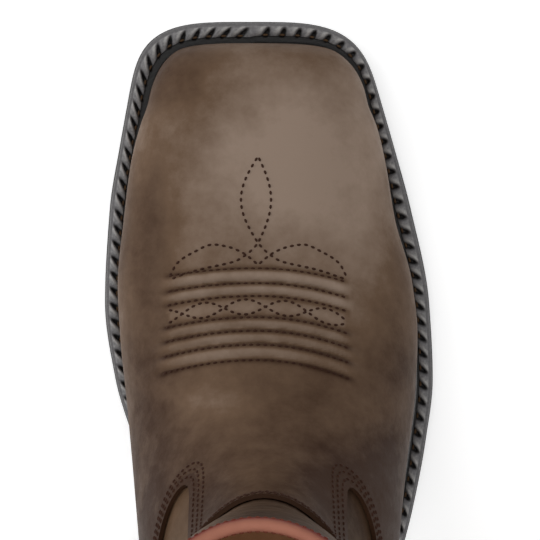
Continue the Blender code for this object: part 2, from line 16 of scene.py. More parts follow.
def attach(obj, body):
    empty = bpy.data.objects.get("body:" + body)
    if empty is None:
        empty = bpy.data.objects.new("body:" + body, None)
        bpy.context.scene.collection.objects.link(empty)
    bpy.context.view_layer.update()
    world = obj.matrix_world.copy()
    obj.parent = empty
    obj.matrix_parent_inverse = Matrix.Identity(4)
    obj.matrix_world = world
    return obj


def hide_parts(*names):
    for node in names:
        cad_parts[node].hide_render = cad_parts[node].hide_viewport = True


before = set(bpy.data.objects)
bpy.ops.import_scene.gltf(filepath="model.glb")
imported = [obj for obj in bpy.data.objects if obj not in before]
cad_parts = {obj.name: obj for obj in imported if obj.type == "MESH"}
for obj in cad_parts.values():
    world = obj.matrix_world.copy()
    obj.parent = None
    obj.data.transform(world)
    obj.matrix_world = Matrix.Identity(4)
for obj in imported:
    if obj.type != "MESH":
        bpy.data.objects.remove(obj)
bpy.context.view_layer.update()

# Outsole
# One moulded rubber sole from toe to heel with an arch, a stepped side and cross lugs under the forefoot.
# It is cemented under the welt, and its underside is cut by wide grooves and by thin slits between them.
MM = 0.001
WELD = 0.000004
GAP = 0.3
SOLE_TIP, SOLE_BACK = 305.0, -3.0
MIDDLE = (SOLE_TIP + SOLE_BACK) / 2
SOLE_NAMES = ("ahead", "inner", "outer", "centre", "foot_inset", "tread", "top")
SOLE = [
    (-3, 36.0, 35.0, 1.4, 6.4, 29.5, 36.5),
    (30, 37.4, 36.0, 1.4, 6.4, 28.5, 35.5),
    (60, 37.0, 37.2, 1.4, 6.4, 27.2, 34.2),
    (85, 35.4, 39.2, 1.4, 6.8, 24.0, 31.5),
    (110, 35.6, 43.8, 1.4, 7.6, 16.5, 25.5),
    (135, 40.2, 50.4, 1.6, 8.6, 7.0, 17.8),
    (158, 47.4, 55.0, 2.0, 9.6, 1.0, 13.0),
    (180, 54.0, 57.6, 2.6, 10.0, 0.0, 12.0),
    (207, 57.7, 56.3, 3.4, 10.0, 0.0, 12.0),
    (240, 56.0, 49.8, 5.0, 10.0, 0.0, 12.0),
    (262, 52.4, 43.8, 6.0, 10.0, 1.6, 13.6),
    (277, 49.6, 39.4, 6.6, 10.4, 4.2, 16.0),
    (305, 44.2, 31.0, 6.6, 11.4, 11.0, 21.5),
]
TOE_ROUND, TOE_LENGTH, TOE_POWER, TOE_SHAPE = 277.0, 28.0, 4.0, 0.27
TOE_FILL, MOST_FILL = 0.009, 12.0
TAPER_BACK = {1: 0.2, -1: 0.6}
TAPER_FROM, TAPER_TO = 245.0, 295.0
HEEL_LENGTH, HEEL_POWER, HEEL_SHAPE = 33.0, 2.2, 0.46
SOLE_SIDE = [(2.9, 0), (1.3, 0.04), (0.5, 0.14), (0.1, 0.3), (0, 0.44), (0.25, 0.48), (0.9, 0.5), (0.9, 0.58)]
SOLE_SIDE += [(0.25, 0.6), (0, 0.64), (0, 0.95), (0.3, 1)]
LUG_PITCH, LUG_GROOVE, LUG_DEPTH = 16.0, 5.0, 3.0
SLIT, SLIT_DEPTH = 1.0, 1.1
CUT_WIDE = 90.0
FOREFOOT_GROOVES = np.arange(154, 290, LUG_PITCH)
HEEL_SHIFT, TOE_SHIFT = (30, 85), (200, TOE_ROUND)
SOLE_STATIONS = 240


def smooth(xs, ys, x):
    """A curve through the points (xs, ys) that never overshoots them, read at x. xs go up."""
    xs, ys, x = (np.asarray(v, float) for v in (xs, ys, x))
    step = np.diff(xs)
    slope = np.diff(ys) / step
    tangent = np.zeros(len(xs))
    tangent[0], tangent[-1] = slope[0], slope[-1]
    product = slope[:-1] * slope[1:]
    total = np.where(product > 0, slope[:-1] + slope[1:], 1)
    tangent[1:-1] = np.where(product > 0, 2 * product / total, 0)
    i = np.clip(np.searchsorted(xs, x, side="right") - 1, 0, len(step) - 1)
    u = (np.clip(x, xs[0], xs[-1]) - xs[i]) / step[i]
    curve = ys[i] * (1 + 2 * u) * (1 - u) ** 2 + ys[i + 1] * u**2 * (3 - 2 * u)
    return curve + step[i] * u * (1 - u) * (tangent[i] * (1 - u) - tangent[i + 1] * u)


def column(table, names, name, x):
    """A column of a table read at x, which runs along its first column."""
    rows = np.array(table, float)
    order = np.argsort(rows[:, 0])
    return smooth(rows[order, 0], rows[order, names.index(name)], x)


def sole(name, ahead):
    return column(SOLE, SOLE_NAMES, name, ahead)


def heel_close(share):
    """How far the half width has opened at a share of the way round the back of the heel."""
    return (1 - (1 - np.clip(share, 0, 1)) ** HEEL_POWER) ** HEEL_SHAPE


def outline(ahead, side, inset, heel=True):
    """(x, ahead) of the sole's outline moved inwards by inset. side is 1 for inner and -1 for outer."""
    ahead = np.asarray(ahead, float)
    eased = TAPER_BACK[side] * smooth([TAPER_FROM, TAPER_TO], [0, 1], ahead)
    half = sole("inner" if side > 0 else "outer", ahead) - inset * (1 - eased)
    centre = side * sole("centre", ahead)
    toe = np.clip((ahead - TOE_ROUND) / TOE_LENGTH, 0, 1)
    ends = (1 - toe**TOE_POWER) ** (TOE_SHAPE - TOE_FILL * np.clip(inset, 0, MOST_FILL))
    if heel:
        ends = ends * heel_close((ahead - SOLE_BACK) / HEEL_LENGTH)
    shift = inset * (1 - smooth(HEEL_SHIFT, [0, 1], ahead)) - inset * smooth(TOE_SHIFT, [0, 1], ahead)
    return side * (centre + (half - centre) * ends), ahead + shift


def stations(count):
    """Places from the tip to the back, evenly spaced along the outline, so close together round the toe."""
    fine = MIDDLE + (SOLE_TIP - MIDDLE) * np.sin(np.linspace(1, -1, 8001) * math.pi / 2)
    travel = 0
    for side in (1, -1):
        x, at = outline(fine, side, 0)
        travel = travel + np.concatenate([[0], np.cumsum(np.hypot(np.diff(x), np.diff(at)))])
    return np.interp(np.linspace(0, travel[-1], count), travel, fine)


def metres(point):
    """A point (x, ahead, z) in millimetres as world coordinates."""
    return Vector((point[0] * MM, (MIDDLE - point[1]) * MM, point[2] * MM))


def surface(points, around=False, along=False, tones=None):
    """A sheet of quads through a grid of points. It may close on itself round its rows, or along them."""
    points = np.asarray(points, float)
    if around:
        points = np.concatenate([points, points[:, :1]], axis=1)
    if along:
        points = np.concatenate([points, points[:1]], axis=0)
    rows, columns = points.shape[0] - 1, points.shape[1] - 1
    bm = bmesh.new()
    bmesh.ops.create_grid(bm, x_segments=columns, y_segments=rows, size=1)
    layer = None if tones is None else bm.verts.layers.float.new("tone")
    for vert in bm.verts:
        i, j = round((vert.co.y + 1) / 2 * rows), round((vert.co.x + 1) / 2 * columns)
        vert.co = metres(points[i, j])
        if layer:
            vert[layer] = float(tones[i % len(tones)][j % len(tones[0])])
    bmesh.ops.remove_doubles(bm, verts=bm.verts, dist=WELD)
    bmesh.ops.dissolve_degenerate(bm, edges=bm.edges, dist=WELD / 2)
    return bm


def close_ends(bm):
    bmesh.ops.holes_fill(bm, edges=[e for e in bm.edges if e.is_boundary], sides=0)


def shade(mesh, angle):
    mesh.shade_smooth()
    mesh.set_sharp_from_angle(angle=math.radians(angle))


def mesh_of(name, bm):
    mesh = bpy.data.meshes.new(name)
    bm.to_mesh(mesh)
    bm.free()
    return mesh


def placed(name, data):
    """A new object in the scene with this mesh, light or camera."""
    made = bpy.data.objects.new(name, data)
    bpy.context.scene.collection.objects.link(made)
    return made


def piece(name, bm, look, nodes=(), angle=40):
    """Makes a piece of the boot from a bmesh. It rides with the boot and stands for these nodes."""
    bmesh.ops.recalc_face_normals(bm, faces=bm.faces)
    mesh = mesh_of(name, bm)
    made = placed(name, mesh)
    mesh.materials.append(look)
    shade(mesh, angle)
    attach(made, "root")
    if nodes:
        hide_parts(*nodes)
    return made


def bars(places, low, wide, deep):
    """Bars right across the boot at these places, which cut grooves that deep into what is above low."""
    bm = bmesh.new()
    for ahead in places:
        made = bmesh.ops.create_cube(bm, size=1)["verts"]
        bmesh.ops.scale(bm, vec=(2 * CUT_WIDE * MM, wide * MM, 2 * deep * MM), verts=made)
        bmesh.ops.translate(bm, vec=metres((0, ahead, low(ahead))), verts=made)
    return bm


def groove(made, cutter):
    """Cuts grooves into a finished piece."""
    tool = placed("groove_cutter", mesh_of("groove_cutter", cutter))
    change = made.modifiers.new("grooves", "BOOLEAN")
    change.operation = "DIFFERENCE"
    change.solver = "EXACT"
    change.object = tool
    view = bpy.context.evaluated_depsgraph_get()
    cut = bpy.data.meshes.new_from_object(made.evaluated_get(view))
    made.modifiers.clear()
    old, made.data = made.data, cut
    cut.name = made.name
    bpy.data.meshes.remove(old)
    bpy.data.objects.remove(tool)
    shade(cut, 30)


def srgb(red, green, blue):
    """A colour as a screen shows it, from 0 to 255, in the linear light that a shader takes."""
    return tuple(((c / 255 + 0.055) / 1.055) ** 2.4 for c in (red, green, blue)) + (1,)


def new_look(name):
    """A new material, its maker of nodes, make(kind, inputs, **settings), and its Object coordinates."""
    look = bpy.data.materials.new(name)
    look.use_nodes = True
    tree = look.node_tree

    def make(kind, inputs=None, **settings):
        node = tree.nodes.new("ShaderNode" + kind)
        for name, value in settings.items():
            setattr(node, name, value)
        for name, value in (inputs or {}).items():
            if isinstance(value, bpy.types.NodeSocket):
                tree.links.new(value, node.inputs[name])
            else:
                node.inputs[name].default_value = value
        return node

    return look, make, make("TexCoord").outputs["Object"]


def set_shader(look, **inputs):
    """Sets or links the shader's own sockets. A name such as Coat_Weight stands for Coat Weight."""
    shader = look.node_tree.nodes["Principled BSDF"]
    for name, value in inputs.items():
        socket = shader.inputs[name.replace("_", " ")]
        if isinstance(value, bpy.types.NodeSocket):
            look.node_tree.links.new(value, socket)
        else:
            socket.default_value = value


def noise(make, where, scale, detail, roughness=0.5):
    inputs = {"Vector": where, "Scale": scale, "Detail": detail, "Roughness": roughness}
    return make("TexNoise", inputs).outputs["Fac"]


def spread(make, value, low, high, to_low=0.0, to_high=1.0):
    """Takes a value from between low and high to between the other two limits."""
    limits = {"From Min": low, "From Max": high, "To Min": to_low, "To Max": to_high}
    return make("MapRange", {"Value": value, **limits}).outputs["Result"]


def mix(make, share, first, second):
    return make("Mix", {"Factor": share, "A": first, "B": second}, data_type="RGBA").outputs["Result"]


def bumped(make, height, strength, distance, under=None):
    """A bump over the plain surface, or over another bump."""
    inputs = {"Height": height, "Strength": strength, "Distance": distance}
    if under is not None:
        inputs["Normal"] = under
    return make("Bump", inputs).outputs["Normal"]


def rubber(name, dark, light, roughness):
    """Moulded rubber: fine pebbling, with paler dust on it in soft patches."""
    look, make, where = new_look(name)
    dust = noise(make, where, 70.0, 5.0, 0.65)
    colour = mix(make, spread(make, dust, 0.36, 0.68), dark, light)
    pebble = make("TexVoronoi", {"Vector": where, "Scale": 1100.0, "Randomness": 1.0}, feature="SMOOTH_F1")
    bump = bumped(make, pebble.outputs["Distance"], 0.35, 0.00012)
    rough = spread(make, dust, 0.0, 1.0, roughness - 0.1, roughness + 0.1)
    set_shader(look, Base_Color=colour, Roughness=rough, Normal=bump, Specular_IOR_Level=0.45)
    return look


SOLE_RUBBER = rubber("sole_rubber", srgb(40, 38, 39), srgb(66, 63, 62), 0.62)


def sole_rings(places, profile):
    """Rings round the sole, up its inner side and down its outer one. Heights are shares of the thickness."""
    rings = []
    for ahead in places:
        ring = []
        for side, points in ((1, profile), (-1, profile[::-1])):
            for inset, share in points:
                x, at = outline(ahead, side, inset)
                low, high = float(sole("tread", at)), float(sole("top", at))
                ring.append((float(x), float(at), low + (high - low) * share))
        rings.append(ring)
    return rings


def tread_height(ahead):
    return float(sole("tread", ahead))


outsole = piece("outsole_moulded", surface(sole_rings(stations(SOLE_STATIONS), SOLE_SIDE), around=True),
                SOLE_RUBBER, ("outsole",))
groove(outsole, bars(FOREFOOT_GROOVES, tread_height, LUG_GROOVE, LUG_DEPTH))
groove(outsole, bars(FOREFOOT_GROOVES + LUG_PITCH / 2, tread_height, SLIT, SLIT_DEPTH))

# Heel
# A block of stacked layers under the heel seat, sanded flush and stained dark, leaning in towards the ground.
# It is nailed and cemented to the outsole, and its rubber cap, which stands on the ground, has three
# grooves.
HEEL_CAP, HEEL_FRONT = 7.0, 78.0
HEEL_INSET, HEEL_LEAN, BREAST_LEAN = 1.2, 2.6, 2.0
HEEL_GROOVES = np.arange(20, 60, LUG_PITCH + 2)


def heel_block(low, high):
    """A block between two heights. A height of None follows the outsole's underside."""
    rings = []
    for ahead in [a for a in stations(SOLE_STATIONS)[::-1] if a < HEEL_FRONT - 2] + [HEEL_FRONT]:
        ring = []
        for side, ends in ((1, (low, high)), (-1, (high, low))):
            for z in ends:
                seat = float(sole("tread", ahead + HEEL_INSET)) - GAP
                down = 0 if z is None else 1 - z / seat
                x, at = outline(ahead, side, HEEL_INSET + HEEL_LEAN * down)
                if ahead == HEEL_FRONT:
                    at = HEEL_FRONT - BREAST_LEAN * down
                ring.append((float(x), float(at), tread_height(at) - GAP if z is None else z))
        rings.append(ring)
    bm = surface(rings, around=True)
    close_ends(bm)
    return bm


def stacked(name, dark, light):
    """Stained layers, which show as fine level lines."""
    look, make, where = new_look(name)
    waver = {"Vector": where, "Scale": 95.0, "Distortion": 0.6, "Detail": 2.0, "Detail Scale": 9.0}
    bands = make("TexWave", waver, wave_type="BANDS", bands_direction="Z", wave_profile="SIN")
    layers, stain = bands.outputs["Fac"], noise(make, where, 120.0, 4.0)
    both = make("Math", {0: layers, 1: stain}, operation="MULTIPLY").outputs["Value"]
    bump = bumped(make, layers, 0.35, 0.0002)
    set_shader(look, Base_Color=mix(make, both, dark, light), Roughness=0.5, Normal=bump)
    set_shader(look, Coat_Weight=0.15, Coat_Roughness=0.35)
    return look


HEEL_STACK = stacked("heel_stack", srgb(48, 38, 31), srgb(84, 66, 52))
piece("heel_stack_block", heel_block(HEEL_CAP + GAP, None), HEEL_STACK, ("heel",))
heel_cap = piece("heel_cap_moulded", heel_block(0.0, HEEL_CAP), SOLE_RUBBER, ("heel_cap",))
groove(heel_cap, bars(HEEL_GROOVES, lambda ahead: 0.0, LUG_GROOVE, LUG_DEPTH))

# Insole
# A board covered in leather, which lies on the outsole inside the upper, from the toe to the heel. The upper
# stands round it.
INSOLE, WALL = 4.0, 2.4
INSOLE_INSET = WALL + 1.6
INSOLE_EDGE = [(0.6, 0), (0, 0.25), (0, 0.75), (0.6, 1)]
INSOLE_STATIONS = 160


def foot_line(ahead, side, offset=0.0, heel=True):
    """(x, ahead) where the upper stands on the outsole, moved out by offset."""
    return outline(ahead, side, sole("foot_inset", ahead) - offset, heel)


def foot_z(ahead):
    return sole("top", ahead) + GAP


def insole_rings():
    rings = []
    for ahead in stations(INSOLE_STATIONS):
        ring = []
        for side, edge in ((1, INSOLE_EDGE), (-1, INSOLE_EDGE[::-1])):
            for inset, rise in edge:
                x, at = foot_line(ahead, side, -INSOLE_INSET - inset)
                ring.append((float(x), float(at), float(foot_z(at)) + rise * INSOLE))
        rings.append(ring)
    return rings


def added(make, first, second):
    return make("Math", {0: first, 1: second}, operation="ADD").outputs["Value"]


def three_shades(make, tone, base, pale, dark):
    """A colour that goes with the tone from dark at -1 over base to pale at 1."""
    up = spread(make, tone, 0.0, 1.0)
    down = spread(make, tone, 0.0, -1.0)
    return mix(make, down, mix(make, up, base, pale), dark)


def leather(name, base, pale, dark, grain=0.5, gloss=0.0):
    """Leather in three shades. The piece's own tone, from -1 to 1, takes it from dark to pale, and soft
    blotches and rubbed spots break it up. grain is how deep the nap and the pores are."""
    look, make, where = new_look(name)
    painted = make("Attribute", attribute_name="tone").outputs["Fac"]
    cloud = noise(make, where, 34.0, 4.0, 0.55)
    rubs = noise(make, where, 170.0, 6.0, 0.7)
    total = added(make, painted, spread(make, cloud, 0.3, 0.7, -0.3, 0.3))
    total = added(make, total, spread(make, rubs, 0.3, 0.72, -0.15, 0.17))
    pores = make("TexVoronoi", {"Vector": where, "Scale": 950.0}, feature="SMOOTH_F1").outputs["Distance"]
    nap = noise(make, where, 620.0, 5.0, 0.75)
    soft = bumped(make, rubs, 0.25 * grain, 0.0006)
    fine = bumped(make, nap, 0.5 * grain, 0.0002, soft)
    bump = bumped(make, pores, 0.4 * grain, 0.0001, fine)
    rough = spread(make, rubs, 0.3, 0.7, 0.64, 0.48)
    colour = three_shades(make, total, base, pale, dark)
    set_shader(look, Base_Color=colour, Roughness=rough, Normal=bump, Specular_IOR_Level=0.04)
    set_shader(look, Coat_Weight=gloss, Coat_Roughness=0.3)
    return look


def paint(made, tone):
    """Gives a piece its tone at every vertex. tone takes arrays of x, ahead and z in millimetres."""
    co = np.zeros(len(made.data.vertices) * 3)
    made.data.vertices.foreach_get("co", co)
    x, y, z = co.reshape(-1, 3).T / MM
    values = np.broadcast_to(np.asarray(tone(x, MIDDLE - y, z), float), x.shape)
    layer = made.data.attributes.new("tone", "FLOAT", "POINT")
    layer.data.foreach_set("value", np.ascontiguousarray(values, dtype=np.float32))


BOARD = leather("insole_leather", srgb(122, 84, 58), srgb(150, 108, 78), srgb(86, 56, 38), grain=0.6)
insole = piece("insole_board", surface(insole_rings(), around=True), BOARD, ("insole",))
paint(insole, lambda x, ahead, z: 0)

# Shaft and lining
# The shaft's leather and its lining are sewn together and pulled over the last as one wall, 2.4 mm thick.
# The wall runs on under the vamp and the counter to the foot line, and its top edge dips in front and behind.
FOOT_SECTIONS = [
    (277, 267.5, 59.5, 35.6, 42.9, 0.60, 3.0),
    (262, 255.0, 61.8, 38.6, 46.0, 0.60, 2.8),
    (240, 236.0, 65.0, 41.8, 48.4, 0.60, 2.6),
    (215, 214.0, 71.0, 47.7, 50.4, 0.61, 2.4),
    (195, 197.0, 79.5, 49.4, 49.5, 0.63, 2.2),
    (172, 180.0, 91.0, 48.4, 47.3, 0.64, 2.1),
    (145, 166.0, 104.0, 45.4, 45.0, 0.62, 2.0),
    (110, 156.0, 117.5, 42.4, 42.4, 0.58, 2.0),
    (70, 150.5, 129.5, 38.4, 39.2, 0.55, 2.0),
    (32, 147.5, 139.0, 35.4, 37.0, 0.52, 2.0),
    (10, 146.3, 145.0, 34.6, 36.4, 0.51, 2.0),
    (-3, 145.6, 150.0, 34.6, 36.4, 0.50, 2.0),
]
SHAFT_SECTIONS = [
    (62, 145.2, 157.0, 35.2, 37.2, 1.5),
    (90, 145.0, 167.0, 37.2, 39.2, 1.8),
    (122, 145.0, 181.0, 40.2, 42.4, 2.2),
    (155, 145.0, 198.0, 43.0, 45.8, 2.6),
    (190, 145.0, 218.0, 44.8, 48.4, 3.0),
    (230, 145.0, 240.0, 45.8, 50.4, 3.4),
    (265, 145.0, 265.0, 46.2, 51.4, 3.7),
    (310, 145.0, 310.0, 46.6, 52.4, 4.0),
]
BACK_NAMES = ("z", "ahead", "round")
BACK = [
    (37, 3.4, 33),
    (47, 1.6, 33),
    (62, 0.3, 35),
    (90, 2.6, 42),
    (122, 6.2, 52),
    (155, 6.8, 62),
    (190, 4.8, 69),
    (230, 2.4, 72),
    (265, 1.0, 72),
    (310, 0.0, 72),
]
TOE_SECTIONS = [
    (0.0, 0.0, 0.0, 0.0),
    (0.12, -0.9, 6.0, 0.3),
    (0.6, -1.4, 13.0, 0.6),
    (1.8, -0.6, 20.5, 0.9),
    (4.0, 2.2, 26.8, 1.1),
    (8.0, 6.8, 31.4, 1.2),
    (14.0, 12.6, 34.4, 1.2),
    (20.0, 18.6, 36.2, 1.2),
]
TUCK_HIGH, TUCK_ARC = 36.0, 0.8
ROW_NAMES = ("ahead", "back_z", "front_ahead", "front_z", "outer", "inner", "centre", "widest", "top_power")
COLLAR_SIDE = 278.0
COLLAR_LINE = [(-2, 258), (5, 259), (42, 272), (76, COLLAR_SIDE), (112, 266), (139, 252), (147, 250)]
BINDING = 4.2
COLLAR_TUCK = 0.8
LINING, LINING_GAP = 1.1, 0.02


def section_rows():
    """All the sections in one array, from the toe to above the collar, and how many stand on the sole."""
    rows = []
    tip = float(foot_line(SOLE_TIP, 1)[1])
    for behind, front_behind, rise, bulge in TOE_SECTIONS:
        ahead = SOLE_TIP - behind
        inner = float(foot_line(ahead, 1)[0]) + bulge
        outer = -float(foot_line(ahead, -1)[0]) + bulge
        power = 2.2 + 0.8 * min(behind / 4, 1)
        centre = float(sole("centre", ahead))
        rows.append((ahead, 0, tip - front_behind, foot_z(tip) + rise, outer, inner, centre, 0.6, power))
    for ahead, front_ahead, front_z, outer, inner, widest, power in FOOT_SECTIONS:
        centre = float(sole("centre", ahead))
        rows.append((ahead, 0, front_ahead, front_z, outer, inner, centre, widest, power))
    for back_z, front_ahead, front_z, outer, inner, centre in SHAFT_SECTIONS:
        rows.append((SOLE_BACK, back_z, front_ahead, front_z, outer, inner, centre, 0.5, 2.0))
    rows = np.array(rows, float)
    standing = rows[:, 1] == 0
    rows[standing, 1] = foot_z(foot_line(rows[standing, 0], 1)[1])
    return rows, int(standing.sum())


ROWS, STANDING = section_rows()
ROW_STEPS = np.diff(ROWS[:, :4], axis=0)
TRAVEL = np.hypot(ROW_STEPS[:, 0], ROW_STEPS[:, 1]) + np.hypot(ROW_STEPS[:, 2], ROW_STEPS[:, 3])
PLACES = np.concatenate([[0], np.cumsum(TRAVEL / 2 + 0.5)])
HEEL_PLACE = PLACES[STANDING - 1]
STEPS = 240


def ahead_of(place):
    return smooth(PLACES[:STANDING], ROWS[:STANDING, 0], place)


def place_of(ahead):
    places = np.linspace(0, HEEL_PLACE, 6000)
    return np.interp(-np.asarray(ahead, float), -ahead_of(places), places)


def tuck(share):
    edge = math.sqrt(1 - TUCK_ARC**2)
    rise = np.sqrt(1 - ((1 - np.clip(share, 0, 1)) * TUCK_ARC) ** 2)
    return (rise - edge) / (1 - edge)


def section(place):
    """Both sides of the section at a place, outer then inner, each an array of (travel, x, ahead, z)."""
    values = {name: float(smooth(PLACES, ROWS[:, i], place)) for i, name in enumerate(ROW_NAMES)}
    standing = place <= HEEL_PLACE
    ahead = float(ahead_of(place)) if standing else SOLE_BACK
    foot_ahead = float(foot_line(ahead, 1)[1])
    back = (foot_ahead, float(foot_z(foot_ahead)))
    if not standing:
        back = (float(column(BACK, BACK_NAMES, "ahead", values["back_z"])), values["back_z"])
    front = (values["front_ahead"], values["front_z"])
    length = math.dist(front, back)
    down = (1 - np.cos(np.linspace(0, math.pi, STEPS))) / 2
    at = front[0] + down * (back[0] - front[0])
    z = front[1] + down * (back[1] - front[1])
    widest, power = values["widest"], values["top_power"]
    crown = (1 - (1 - np.minimum(down / widest, 1)) ** power) ** (1 / power)
    deep = column(BACK, BACK_NAMES, "round", z)
    behind = heel_close((at - column(BACK, BACK_NAMES, "ahead", z)) / deep)
    if standing:
        near = smooth([60, 110], [1, 0], ahead)
        behind = behind * near + (1 - near)
        behind[-1] = heel_close((ahead - SOLE_BACK) / HEEL_LENGTH)
    high = max(min((1 - widest) * length, TUCK_HIGH), 1)
    drawn = tuck((z - foot_z(at)) / high)
    sides = []
    for side, name in ((-1, "outer"), (1, "inner")):
        half = max(values[name] - side * values["centre"], 0.01)
        foot = max(side * float(foot_line(ahead, side, 0, False)[0]) - side * values["centre"], 0.0)
        out = (foot + (max(half, foot) - foot) * drawn) * crown * behind
        if not standing:
            out[-1] = 0.0
        travel = np.concatenate([[0], np.cumsum(np.hypot(np.diff(out), np.diff(down) * length))])
        sides.append(np.column_stack([travel, values["centre"] + side * out, at, z]))
    return sides


FINE = 24
TABLE_PLACES = np.concatenate([np.linspace(a, b, FINE, endpoint=False) for a, b in zip(PLACES, PLACES[1:])])
TABLE_SHARES = np.linspace(-1, 1, 201)
FRONT_SHARE = len(TABLE_SHARES) // 2
MEAN_ROWS = 8


def skin_row(place):
    """Points (x, ahead, z) at one place. Shares run from -1 at the outer foot line over 0 in front to 1."""
    points = np.zeros((len(TABLE_SHARES), 3))
    for chosen, side in zip((TABLE_SHARES < 0, TABLE_SHARES >= 0), section(place)):
        travel = np.abs(TABLE_SHARES[chosen]) * side[-1, 0]
        for axis in range(3):
            points[chosen, axis] = np.interp(travel, side[:, 0], side[:, axis + 1])
    return points


TABLE = np.array([skin_row(place) for place in TABLE_PLACES])


def table_normals():
    """Outward directions, each a mean over a few rows by area, since the rows crowd round the heel."""
    along, across = np.gradient(TABLE, axis=0), np.gradient(TABLE, axis=1)
    area = np.pad(np.cross(along, across), ((MEAN_ROWS, MEAN_ROWS), (0, 0), (0, 0)), "edge")
    normal = sum(area[k : k + len(TABLE)] for k in range(2 * MEAN_ROWS + 1))
    normal[0] = (0, 1, 0)
    closed = TABLE_PLACES >= HEEL_PLACE
    joined = normal[closed, 0] + normal[closed, -1]
    normal[closed, 0] = joined
    normal[closed, -1] = joined
    return normal / np.maximum(np.linalg.norm(normal, axis=2, keepdims=True), 1e-9)


NORMALS = table_normals()


def skin(places, shares, offset=0.0):
    """Points of the upper's outside, moved out by offset, at arrays of places and shares of one shape."""
    places, shares = np.broadcast_arrays(np.asarray(places, float), np.asarray(shares, float))
    offset = np.broadcast_to(np.asarray(offset, float), places.shape)
    row = np.clip(np.interp(places, TABLE_PLACES, np.arange(len(TABLE_PLACES))), 0, len(TABLE_PLACES) - 1.001)
    col = np.clip((shares + 1) / 2 * (len(TABLE_SHARES) - 1), 0, len(TABLE_SHARES) - 1.001)
    i, j = row.astype(int), col.astype(int)
    u, v = (row - i)[..., None], (col - j)[..., None]
    points = np.zeros(places.shape + (3,))
    for source, factor in ((TABLE, 1.0), (NORMALS, offset[..., None])):
        first = source[i, j] * (1 - v) + source[i, j + 1] * v
        second = source[i + 1, j] * (1 - v) + source[i + 1, j + 1] * v
        points += factor * (first * (1 - u) + second * u)
    for side in (-1, 1):
        edge = (np.abs(shares - side) < 1e-6) & (places <= HEEL_PLACE + 1e-6)
        x, at = foot_line(ahead_of(places[edge]), side, offset[edge])
        points[edge] = np.column_stack([x, at, foot_z(at)])
    pole = places < 1e-6
    tip = ROWS[0, 2] + offset[pole]
    points[pole] = np.column_stack([np.full(tip.shape, ROWS[0, 6]), tip, foot_z(tip)])
    return points


def through(line, x):
    """A curve through the points of a line, read at x."""
    return smooth(*np.array(line, float).T, x)


def collar_z(ahead):
    """Height of the collar in side view, with its dips at the front and the back."""
    return through(COLLAR_LINE, ahead)


def flat_sheet(places, columns):
    """The upper laid out flat: x is the share, from -1 to 1, and y the place."""
    bm = bmesh.new()
    bmesh.ops.create_grid(bm, x_segments=columns, y_segments=len(places) - 1, size=1)
    for vert in bm.verts:
        vert.co.y = places[round((vert.co.y + 1) / 2 * (len(places) - 1))]
    return bm


def trim(bm, keep):
    """Cuts a flat sheet where keep is 0, drops the side where it is negative and returns the cut's verts."""
    verts = list(bm.verts)
    flat = np.array([v.co for v in verts])
    values = dict(zip(verts, keep(skin(flat[:, 1], flat[:, 0]))))
    cut = []
    for edge in [e for e in bm.edges if values[e.verts[0]] * values[e.verts[1]] < 0]:
        first, second = (values[v] for v in edge.verts)
        cut.append(bmesh.utils.edge_split(edge, edge.verts[0], first / (first - second))[1])
    bmesh.ops.connect_verts(bm, verts=cut)
    gone = [f for f in bm.faces if any(values.get(v, 0) < 0 for v in f.verts)]
    bmesh.ops.delete(bm, geom=gone, context="FACES")
    return {v for v in cut if v.is_valid}


def thicken(bm, low, high):
    """Wraps a flat sheet round the last as a wall between two offsets. An offset may be a function of points.
    Where the sheet's two ends meet at the back, the faces between them inside the wall are dropped."""
    bm.normal_update()
    below = set(bm.verts)
    bmesh.ops.extrude_face_region(bm, geom=bm.faces[:])
    verts = list(bm.verts)
    flat = np.array([v.co for v in verts])
    lower = np.array([v in below for v in verts])
    for chosen, offset in ((lower, low), (~lower, high)):
        if callable(offset):
            offset = offset(skin(flat[chosen, 1], flat[chosen, 0]))
        points = skin(flat[chosen, 1], flat[chosen, 0], offset)
        for vert, point in zip([v for v, c in zip(verts, chosen) if c], points):
            vert.co = metres(point)
    bmesh.ops.remove_doubles(bm, verts=bm.verts, dist=WELD)
    bmesh.ops.dissolve_degenerate(bm, edges=bm.edges, dist=WELD / 2)
    within = [f for f in bm.faces if sum(len(e.link_faces) > 2 for e in f.edges) > 1]
    bmesh.ops.delete(bm, geom=within, context="FACES")
    return bm


def near(x, ahead, x0, ahead0, wide, long):
    """A soft spot seen from above, 1 at its middle."""
    return np.exp(-(((x - x0) / wide) ** 2) - ((ahead - ahead0) / long) ** 2)


def band(value, middle, wide):
    """1 where the value is at the middle, falling off softly on both sides."""
    return np.exp(-(((value - middle) / wide) ** 2))


WHOLE_PLACES = np.concatenate([np.linspace(0, 40, 30), np.linspace(40, TABLE_PLACES[-1], 150)[1:]])
SHAFT_COLUMNS = 120


def under_collar(points):
    """How far a point lies under the wall's top, which reaches a little way up into the binding."""
    return collar_z(points[:, 1]) - BINDING + COLLAR_TUCK - points[:, 2]


def shaft_tone(x, ahead, z):
    """Rubbed paler on the bulges and darker round the ankle. Down the front it is darker, with painted shade
    on its outer side, painted light on its inner side and a painted shadow just above the top of the vamp's
    tongue.
    """
    front = smooth([95, 135], [0, 1], ahead)
    tone = 0.1 * np.sin(z / 23 + x / 31) - 0.35 * band(z, 118, 30) * (1 - front)
    # Painted shade on the outer side of the front and painted light on its inner side.
    outer = 0.5 * smooth([-25, 30], [1, -0.5], x)
    # Painted shadow of the vamp tongue's top edge, on the front just above it.
    return tone + front * (-0.05 - outer - 0.6 * near(x, ahead, 0, 146, 24, 9))


FOLDS = [(121, 0.35, 6.0, 0.5), (143, 0.8, 5.5, 2.1), (162, 0.9, 6.5, 0.9), (184, 0.55, 8.0, 3.0)]
FOLDS += [(207, 0.3, 9.0, 1.4)]
FOLD_TILT, FOLD_WAVE = 0.3, 3.5
FOLD_SHARES = [(20, 0.15), (60, 0.55), (105, 1), (132, 0.7), (146, 0.25)]


